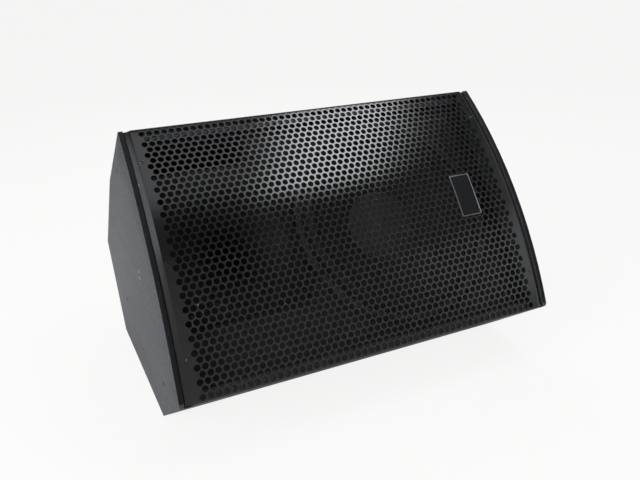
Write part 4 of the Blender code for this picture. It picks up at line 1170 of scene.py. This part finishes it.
@dataclass
class Boards:
    """The painted box: two end boards and five boards that wrap round between them."""

    corners: tuple[Flat, ...] = ((0.0, 0.361), (0.176, 0.361), (0.372, 0.320767), (0.372, 0.159647), (0.144, 0.0),
                                 (0.0, 0.0))
    round: float = 0.003
    front: float = 0.0053
    step: float = 0.0015
    fold: float = 0.0163
    edge: float = 0.0011
    handle_hole: Flat = (0.084, 0.050)
    handle_corner: float = 0.016
    handle_middle: tuple[float, float] = (0.175616, 0.210670)
    handle_tilt: float = math.radians(-46.5999)
    side_screws: tuple[Flat, ...] = ((0.0803, 0.3378), (0.0795, 0.0378), (0.265, 0.1915))
    sink: tuple[Flat, ...] = ((0.0, -0.0010), (0.0036, -0.0010), (0.0036, 0.0), (0.0029, 0.0014), (0.0, 0.0014))
    screw_depth: float = 0.0019

    def corner(self, index: int) -> tuple[Vector, Vector, Vector, Vector]:
        """What the rounding of an outer corner needs.

        Args:
            index: The corner's place in the outline.

        Returns:
            The start and end of the rounding, its middle and the boards' inner corner.
        """
        here, before, after = (Vector(self.corners[i]) for i in (index, index - 1, index + 1))
        back = (before - here).normalized()
        on = (after - here).normalized()
        half = back.angle(on) / 2
        bisector = (back + on).normalized()
        trim = self.round / math.tan(half)
        middle = here + bisector * (self.round / math.sin(half) - self.round)
        return here + back * trim, here + on * trim, middle, here + bisector * (WEDGE.panel / math.sin(half))

    def half_round(self, index: int, leaving: bool) -> list[Vector]:
        """The half of a corner's rounding that belongs to one board.

        Args:
            index: The corner's place in the outline.
            leaving: Whether the board starts at the corner.

        Returns:
            Points of the rounding in the outline's order.
        """
        start, end, middle, _ = self.corner(index)
        here, edge = Vector(self.corners[index]), (end if leaving else start)
        inward = (middle - here).normalized()
        centre = middle + inward * self.round
        first, last = (middle - centre, edge - centre)
        turn = first.angle_signed(last)
        arc = [centre + Matrix.Rotation(-turn * share / 3, 2) @ first for share in range(4)]
        return arc if leaving else arc[::-1]

    def section(self, index: int) -> list[Vector]:
        """The section of one board.

        Args:
            index: The corner that the board starts from.

        Returns:
            The section's corners.
        """
        height = WEDGE.height
        if index == 0:
            return [Vector((self.front, height - self.step)), Vector((self.fold, height - self.step)),
                    Vector((self.fold, height)), *self.half_round(1, False), self.corner(1)[3],
                    Vector((self.front, height - WEDGE.panel))]
        if index == 4:
            return [*self.half_round(4, True), Vector((self.fold, 0.0)), Vector((self.fold, self.step)),
                    Vector((self.front, self.step)), Vector((self.front, WEDGE.panel)), self.corner(4)[3]]
        return [*self.half_round(index, True), *self.half_round(index + 1, False), self.corner(index + 1)[3],
                self.corner(index)[3]]

    def build_wrap(self) -> list[bpy.types.Object]:
        """Models the five boards between the ends and sets them in place."""
        half = WEDGE.inside - WEDGE.gap
        boards = []
        for index, node in enumerate(("top_panel", "rear_upper_panel", "rear_panel", "floor_panel", "toe_panel")):
            outline = [(-half, point.x, point.y) for point in self.section(index)]
            piece = Bench.close(Bench.prism(outline, (2 * half, 0.0, 0.0)), node + "_board", WEDGE.place, 25.0)
            if node == "rear_upper_panel":
                self.cut_handle_hole(piece)
            boards.append(seat(piece, Body.CABINET, [CABINET_BLACK], [node]))
        return boards

    def cut_handle_hole(self, piece: bpy.types.Object) -> None:
        """Cuts the handle's opening through the upper rear board."""
        outline = [(x, z, -0.03) for x, z in rounded(*self.handle_hole, self.handle_corner)]
        cutter = Bench.prism(outline, (0.0, 0.0, 0.06))
        place = Matrix.Translation((0.0, *self.handle_middle)) @ Matrix.Rotation(self.handle_tilt, 4, "X")
        Bench.cut(piece, Bench.close(cutter, "handle_hole_cutter", place))

    def build_ends(self) -> list[bpy.types.Object]:
        """Breaks the edges of both end boards, sinks their screw holes and sets them in place."""
        ends = []
        for node, side in (("side_panel_left", -1), ("side_panel_right", 1)):
            piece = Bench.node_copy(node)
            for finish in (CABINET_BLACK, CABINET_EDGE):
                piece.data.materials.append(paint(finish))
            Bench.modify(piece, "BEVEL", width=self.edge, segments=2, limit_method="ANGLE",
                         angle_limit=math.radians(35), material=1, use_clamp_overlap=True)
            aim = Vector((side, 0.0, 0.0)).to_track_quat("-Y", "Z").to_matrix().to_4x4()
            for y, z in self.side_screws:
                where = Matrix.Translation(WEDGE.spot(side * WEDGE.width / 2, y, z))
                Bench.cut(piece, Bench.close(Bench.turn(self.sink, 20), "screw_hole_cutter", where @ aim))
            Bench.close(piece, node + "_board", None, 30.0)
            lip = WEDGE.facing(WEDGE.length / 2)
            # Faces that look the way the bow's middle faces take the lip paint, which is painted shade darker than the
            # rest of the board.
            indices = [2 if face.normal.dot(lip) > 0.9 else face.material_index for face in piece.data.polygons]
            seat(piece, Body.CABINET, [CABINET_BLACK, CABINET_EDGE, CABINET_LIP_SHADE], [node])
            for face, index in zip(piece.data.polygons, indices):
                face.material_index = index
            ends.append(piece)
        return ends

    def fasten(self, screw: Screw) -> None:
        """Drives the screws that hold the end boards."""
        for side, label in ((-1, "left"), (1, "right")):
            facing = Vector((side, 0.0, 0.0))
            for number, (y, z) in enumerate(self.side_screws):
                where = WEDGE.place @ Vector((side * (WEDGE.width / 2 - self.screw_depth), y, z))
                screw.drive("side_screw_%s_%d" % (label, number + 1), where, facing, 0.7 * number,
                            BLACK_SCREW)


@dataclass
class Woofer:
    """The twelve-inch driver's visible parts. Its cone and cap move with the voice coil."""

    x: float = 0.082
    z: float = 0.1805
    cone_radius: float = 0.1212
    cone_rim: float = 0.0150
    cone_depth: float = 0.054
    neck_radius: float = 0.0271
    paper: float = 0.0016
    cap_radius: float = 0.0545
    cap_rise: float = 0.017
    cap_shell: float = 0.001
    roll: float = 0.0065
    cloth: float = 0.0008
    surround_edge: float = 0.1425
    flange_front: float = 0.0157
    gasket: Flat = (0.1428, 0.1505)
    gasket_height: float = 0.006
    bolts: int = 8
    ribs: int = 5

    @property
    def centre(self) -> Flat:
        """The driver's axis."""
        return self.x, self.z

    def depth(self, radius: float) -> float:
        """Depth of the cone's face at a radius."""
        share = (radius - self.neck_radius) / (self.cone_radius - self.neck_radius)
        return self.cone_rim + self.cone_depth * (1.0 - share ** 0.92)

    def build_cone(self) -> bpy.types.Object:
        """Turns the ribbed paper cone."""
        steps = 60
        face = []
        for step in range(steps + 1):
            share = step / steps
            radius = self.cone_radius + (self.neck_radius - self.cone_radius) * share
            rib = 0.0
            for number in range(self.ribs):
                middle = 0.115 + 0.062 * number
                rib += 0.0011 * math.exp(-((share - middle) / 0.012) ** 2)
            face.append((radius, self.depth(radius) - rib * (0.0 if share < 0.04 else 1.0)))
        neck = self.depth(self.neck_radius) + 0.004
        back = [(self.neck_radius + self.paper, neck)]
        back += [(radius, self.depth(radius) + self.paper) for radius, _ in reversed(face[:-3:3])]
        profile = face + [(self.neck_radius, neck)] + back
        piece = Bench.close(Bench.turn(profile, 96, self.centre), "woofer_ribbed_cone", WEDGE.place, 40.0)
        return seat(piece, Body.WOOFER, [CONE_PULP], ["woofer_cone"])

    def build_cap(self) -> bpy.types.Object:
        """Turns the dust cap."""
        rim = self.depth(self.cap_radius) - 0.0005
        sphere = (self.cap_radius ** 2 + self.cap_rise ** 2) / (2 * self.cap_rise)
        spread = math.asin(self.cap_radius / sphere)
        turns = [spread * step / 16 for step in range(17)]
        dome = [(sphere * math.sin(t), rim + sphere * (math.cos(spread) - math.cos(t))) for t in turns]
        under = [(max(radius - self.cap_shell * 0.3, 0.0), depth + self.cap_shell) for radius, depth in reversed(dome)]
        under[0] = (self.cap_radius - self.cap_shell, rim)
        under[-1] = (0.0, dome[0][1] + self.cap_shell)
        piece = Bench.close(Bench.turn(dome + under, 72, self.centre), "woofer_domed_cap", WEDGE.place, 40.0)
        return seat(piece, Body.WOOFER, [CAP_PULP], ["woofer_dust_cap"])

    def build_surround(self) -> bpy.types.Object:
        """Turns the half-roll surround."""
        lip = self.flange_front - WEDGE.gap
        foot = self.cone_radius + WEDGE.gap
        middle = foot + self.roll
        turns = [math.pi * step / 12 for step in range(13)]
        outside = [(middle - self.roll * math.cos(t), lip - self.cloth - self.roll * math.sin(t)) for t in turns]
        inner = self.roll - self.cloth
        inside = [(middle - inner * math.cos(t), lip - self.cloth - inner * math.sin(t)) for t in reversed(turns)]
        profile = [(foot, lip), *outside, (self.surround_edge, lip - self.cloth), (self.surround_edge, lip),
                   (middle + inner, lip), *inside, (middle - inner, lip)]
        piece = Bench.close(Bench.turn(profile, 96, self.centre), "woofer_rolled_surround", WEDGE.place, 50.0)
        return seat(piece, Body.CABINET, [DOPED_CLOTH], ["woofer_surround"])

    def build_gasket(self) -> bpy.types.Object:
        """Turns the gasket ring with rounded edges."""
        inner, outer = self.gasket
        back = self.flange_front - WEDGE.gap
        front = back - self.gasket_height
        edge = 0.0012
        profile = [(inner, back), (inner, front + edge), (inner + edge * 0.3, front + edge * 0.3),
                   (inner + edge, front), (outer - edge, front), (outer - edge * 0.3, front + edge * 0.3),
                   (outer, front + edge), (outer, back)]
        piece = Bench.close(Bench.turn(profile, 96, self.centre), "woofer_gasket_ring", WEDGE.place, 50.0)
        return seat(piece, Body.CABINET, [GASKET_FOAM], ["woofer_gasket"])

    def fasten(self, screw: Screw) -> None:
        """Drives the screws through the gasket and the frame's flange."""
        middle = sum(self.gasket) / 2
        depth = self.flange_front - WEDGE.gap - self.gasket_height
        facing = WEDGE.place.to_3x3() @ Vector((0.0, -1.0, 0.0))
        for number in range(self.bolts):
            angle = 2 * math.pi * (number + 0.5) / self.bolts
            point = Vector((self.x + middle * math.cos(angle), depth, self.z + middle * math.sin(angle)))
            screw.drive("woofer_screw_%d" % (number + 1), WEDGE.place @ point, facing, 0.8 * number,
                        BLACK_SCREW)


@dataclass
class Horn:
    """The moulded horn: a square flange with a raised lip, a round mouth and a flare down to the throat."""

    x: float = -0.1615
    z: float = 0.1805
    side: float = 0.182
    corner: float = 0.018
    face: float = 0.0117
    under: float = 0.0177
    mouth: float = 0.0745
    throat: float = 0.0127
    throat_depth: float = 0.0997
    lip: float = 0.0035
    wall: float = 0.004
    pad: float = 0.0297
    pad_height: float = 0.006
    points: int = 64
    screw_inset: float = 0.013

    def square(self, half: float, corner: float, depth: float) -> list[Point]:
        """A ring on a square with round corners.

        Args:
            half: Half the square's side.
            corner: Its corners' radius.
            depth: Its depth.

        Returns:
            The ring's points.
        """
        ring = []
        for step in range(self.points):
            angle = 2 * math.pi * step / self.points
            fold = abs((angle + math.pi / 4) % (math.pi / 2) - math.pi / 4)
            reach = half / math.cos(fold)
            if reach * math.sin(fold) > half - corner:
                along = (half - corner) * (math.cos(fold) + math.sin(fold))
                off = 2 * (half - corner) ** 2 - along ** 2
                reach = along + math.sqrt(max(corner ** 2 - off, 0.0))
            ring.append((self.x + reach * math.cos(angle), depth, self.z + reach * math.sin(angle)))
        return ring

    def ring(self, radius: float, depth: float) -> list[Point]:
        """A round ring of a radius at a depth."""
        return [(self.x + radius * math.cos(2 * math.pi * step / self.points), depth,
                 self.z + radius * math.sin(2 * math.pi * step / self.points)) for step in range(self.points)]

    def flare(self, depth: float) -> float:
        """The flare's radius at a depth."""
        start = self.face + self.lip
        growth = math.log(self.mouth / self.throat) / (self.throat_depth - start)
        return self.throat * math.exp(growth * (self.throat_depth - depth))

    def build(self) -> bpy.types.Object:
        """Models the horn as one skin and sets it in place."""
        half = self.side / 2
        start = self.face + self.lip
        depths = [start + (self.throat_depth - start) * step / 14 for step in range(15)]
        rings = [self.square(half, self.corner, self.under), self.square(half, self.corner, self.face + 0.001),
                 self.square(half - 0.0003, self.corner, self.face + 0.0003),
                 self.square(half - 0.001, self.corner - 0.001, self.face),
                 self.ring(self.mouth + 0.0075, self.face),
                 self.ring(self.mouth + 0.0045, self.face + 0.0004), self.ring(self.mouth + 0.0018, self.face + 0.0014)]
        rings += [self.ring(self.flare(depth), depth) for depth in depths]
        rings += [self.ring(self.pad, self.throat_depth), self.ring(self.pad, self.throat_depth - self.pad_height)]
        rings += [self.ring(self.flare(depth) + self.wall, depth) for depth in reversed(depths[2:-2:3])]
        rings += [self.ring(self.mouth + self.wall, self.under)]
        piece = Bench.close(Bench.loft(rings), "horn_moulding", WEDGE.place, 35.0)
        return seat(piece, Body.CABINET, [HORN_BLACK], ["horn_flare"])

    def fasten(self, screw: Screw) -> None:
        """Drives a screw at each corner of the flange."""
        reach = self.side / 2 - self.screw_inset
        facing = WEDGE.place.to_3x3() @ Vector((0.0, -1.0, 0.0))
        for number, (x, z) in enumerate(((1, 1), (-1, 1), (-1, -1), (1, -1))):
            where = WEDGE.place @ Vector((self.x + x * reach, self.face, self.z + z * reach))
            screw.drive("horn_screw_%d" % (number + 1), where, facing, 1.1 * number, BLACK_SCREW)


@dataclass
class Fittings:
    """Handle, input dish with its sockets, and feet."""

    handle_middle: tuple[float, float] = (0.175616, 0.210670)
    handle_tilt: float = math.radians(-46.5999)
    handle_screws: tuple[Flat, ...] = ((0.0885, 0.0300), (-0.0885, 0.0300), (0.0885, -0.0300), (-0.0885, -0.0300),
                                       (0.0, 0.0545), (0.0, -0.0545))
    handle_face: float = 0.0033
    dish_middle: tuple[float, float] = (0.0596, 0.160)
    dish_face: float = 0.279
    dish_screws: tuple[Flat, ...] = ((0.0470, 0.0350), (-0.0470, 0.0350), (0.0470, -0.0350), (-0.0470, -0.0350))
    foot_places: tuple[tuple[str, float, float], ...] = (
        ("front_left", -0.234, -0.0814), ("front_right", 0.234, -0.0814),
        ("rear_left", -0.234, 0.10694), ("rear_right", 0.234, 0.10694))
    foot_radius: float = 0.019
    foot_height: float = 0.0057

    def soften(self, node: str, name: str, edge: float, finish: Finish) -> bpy.types.Object:
        """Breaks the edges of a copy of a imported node.

        Args:
            node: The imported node.
            name: The new piece's name.
            edge: How wide the broken edges are.
            finish: The piece's finish.

        Returns:
            The new piece.
        """
        piece = Bench.node_copy(node)
        Bench.modify(piece, "BEVEL", width=edge, segments=2, limit_method="ANGLE", angle_limit=math.radians(35),
                     use_clamp_overlap=True)
        Bench.close(piece, name, None, 35.0)
        return seat(piece, Body.CABINET, [finish], [node])

    def build_handle(self, screw: Screw) -> None:
        """Finishes the handle's cup and bar, and screws the cup's rim down."""
        self.soften("handle_cup", "handle_moulded_cup", 0.0008, MOULDED_BLACK)
        self.soften("handle_bar", "handle_grip_bar", 0.0008, RUBBER)
        place = Matrix.Translation((0.0, *self.handle_middle)) @ Matrix.Rotation(self.handle_tilt, 4, "X")
        facing = place.to_3x3() @ Vector((0.0, 0.0, 1.0))
        for number, (x, y) in enumerate(self.handle_screws):
            where = place @ Vector((x, y, self.handle_face - 0.0006))
            screw.drive("handle_screw_%d" % (number + 1), where, facing, 0.9 * number, BLACK_SCREW)

    def build_inputs(self, screw: Screw) -> None:
        """Finishes the dish and screws its rim down, and models both sockets."""
        self.soften("input_dish", "input_moulded_dish", 0.0006, MOULDED_BLACK)
        y, z = self.dish_middle
        facing = Vector((1.0, 0.0, 0.0))
        for number, (across, up) in enumerate(self.dish_screws):
            where = Vector((self.dish_face - 0.0012, y + across, z + up))
            screw.drive("input_screw_%d" % (number + 1), where, facing, 0.6 * number, BLACK_SCREW)
        for node in ("input_socket_front", "input_socket_rear"):
            self.soften(node, node + "_turned", 0.0004, SOCKET_BLACK)

    def build_feet(self, screw: Screw) -> None:
        """Turns the feet with a recess for a screw."""
        rim, height = self.foot_radius, self.foot_height
        profile = [(0.0, 0.0030), (0.0052, 0.0030), (0.0058, 0.0026), (0.0062, 0.0004), (0.0066, 0.0),
                   (rim - 0.0030, 0.0), (rim - 0.0016, 0.0005), (rim - 0.0008, 0.0016), (rim, height - 0.0004),
                   (rim - 0.0004, height), (0.0, height)]
        for name, x, y in self.foot_places:
            piece = Bench.turn(profile, 48)
            place = Matrix.Translation((x, y, 0.0)) @ Matrix.Rotation(math.pi / 2, 4, "X")
            Bench.close(piece, "rubber_foot_" + name, place, 40.0)
            seat(piece, Body.CABINET, [RUBBER], ["foot_" + name])
            screw.drive("foot_screw_" + name, Vector((x, y, 0.0030)), Vector((0.0, 0.0, -1.0)), 0.5, ZINC)


def dress_nodes() -> None:
    """Lays the slot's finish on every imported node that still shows."""
    for node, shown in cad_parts.items():
        if shown.hide_render:
            continue
        slot = Slot(shown.data.materials[0].name)
        shown.material_slots[0].material = paint(SLOT_FINISHES[slot])
        LOG.info("%s keeps its solid", node)


@dataclass(frozen=True)
class Lamp:
    """One soft lamp: where it hangs, what it points at, its width and height, and its power in watts."""

    name: str
    where: Point
    target: Point
    size: Flat
    power: float


@dataclass
class Studio:
    """Pale paper all round, soft lamps and the camera at the photograph's place."""

    floor_radius: float = 3.0
    sweep: float = 1.6
    wall: float = 3.2
    camera_place: Point = (-0.40858, -0.91975, 0.54907)
    camera_turn: tuple[float, float, float, float] = (0.78724856, 0.57914482, -0.10788531, -0.18218602)
    lens: float = 37.4832
    shift: Flat = (0.030464, -0.054295)
    lamp_colour: Colour = (0.95, 0.975, 1.0)
    air: float = 0.06
    lamps: tuple[Lamp, ...] = (
        Lamp("side_lamp", (-2.3, -0.9, 1.1), (-0.2, 0.0, 0.2), (1.4, 1.2), 56.0),
        Lamp("top_lamp", (0.86, -0.53, 2.0), (0.86, -0.53, 0.0), (0.56, 1.08), 12.8),
        Lamp("wide_lamp", (-0.05, -0.50, 2.0), (-0.05, -0.50, 0.0), (1.0, 1.0), 2.4),
        Lamp("left_lamp", (-1.42, -0.75, 2.0), (-1.42, -0.75, 0.0), (0.8, 1.6), 4.6),
        Lamp("right_lamp", (2.3, -2.2, 1.1), (0.0, 0.0, 0.2), (1.5, 1.2), 2.4),
        Lamp("back_lamp", (0.3, 1.9, 2.4), (0.0, 0.0, 0.0), (2.0, 1.2), 25.0),
    )

    def build_paper(self) -> bpy.types.Object:
        """Turns a floor that sweeps up into a wall all round."""
        turns = [math.pi / 2 * step / 8 for step in range(9)]
        profile = [(0.0, 0.0), (0.6, 0.0), (1.5, 0.0)]
        profile += [(self.floor_radius + self.sweep * math.sin(t), -self.sweep * (1 - math.cos(t))) for t in turns]
        profile += [(self.floor_radius + self.sweep, -self.sweep - self.wall)]
        paper = Bench.turn(profile, 64, closed=False)
        bpy.ops.mesh.select_all(action="SELECT")
        Bench.close(paper, "studio_paper", Matrix.Rotation(-math.pi / 2, 4, "X"), 40.0)
        paper.data.materials.append(paint(STUDIO_PAPER))
        return paper

    def light(self, lamp: Lamp) -> None:
        """Hangs one soft lamp."""
        data = bpy.data.lights.new(lamp.name, "AREA")
        data.shape = "RECTANGLE"
        data.size, data.size_y = lamp.size
        data.energy = lamp.power
        data.color = self.lamp_colour
        holder = bpy.data.objects.new(lamp.name, data)
        bpy.context.scene.collection.objects.link(holder)
        holder.location = lamp.where
        holder.rotation_euler = (Vector(lamp.target) - Vector(lamp.where)).to_track_quat("-Z", "Y").to_euler()

    def light_all(self) -> None:
        """Hangs the lamps and sets the world."""
        for lamp in self.lamps:
            self.light(lamp)
        world = bpy.data.worlds.new("studio_air")
        world.use_nodes = True
        world.node_tree.nodes["Background"].inputs["Color"].default_value = (1.0, 1.0, 1.0, 1.0)
        world.node_tree.nodes["Background"].inputs["Strength"].default_value = self.air
        bpy.context.scene.world = world
        bpy.context.scene.view_settings.view_transform = "Standard"

    def set_camera(self) -> None:
        """Sets the camera at the photograph's viewing angle."""
        data = bpy.data.cameras.new("photo_camera")
        data.sensor_width = 36.0
        data.lens = self.lens
        data.shift_x, data.shift_y = self.shift
        data.clip_start = 0.01
        camera = bpy.data.objects.new("photo_camera", data)
        bpy.context.scene.collection.objects.link(camera)
        camera.location = self.camera_place
        camera.rotation_mode = "QUATERNION"
        camera.rotation_quaternion = self.camera_turn
        bpy.context.scene.camera = camera

    def build(self) -> None:
        """Sets up paper, lamps and camera."""
        self.build_paper()
        self.light_all()
        self.set_camera()


def main() -> None:
    """Builds the pieces in order and dresses what is left of the solids."""
    logging.basicConfig(level=logging.INFO, format="%(name)s: %(message)s")
    Studio().build()
    pin = Screw(radius=0.0028, height=0.0016, slot=0.0009, reach=0.0016, depth=0.0011)
    screw = Screw()
    bolt = Screw(radius=0.0044, height=0.0024, slot=0.0013, reach=0.0026, depth=0.0014)
    for kind in (pin, screw, bolt):
        kind.build()
    grille = Grille()
    grille.build()
    grille.fasten(pin)
    Plate().build()
    boards = Boards()
    boards.build_wrap()
    boards.build_ends()
    boards.fasten(pin)
    woofer = Woofer()
    woofer.build_cone()
    woofer.build_cap()
    woofer.build_surround()
    woofer.build_gasket()
    woofer.fasten(bolt)
    horn = Horn()
    horn.build()
    horn.fasten(bolt)
    fittings = Fittings()
    fittings.build_handle(bolt)
    fittings.build_inputs(screw)
    fittings.build_feet(bolt)
    for kind in (pin, screw, bolt):
        kind.put_away()
    dress_nodes()


if __name__ == "__main__":
    main()
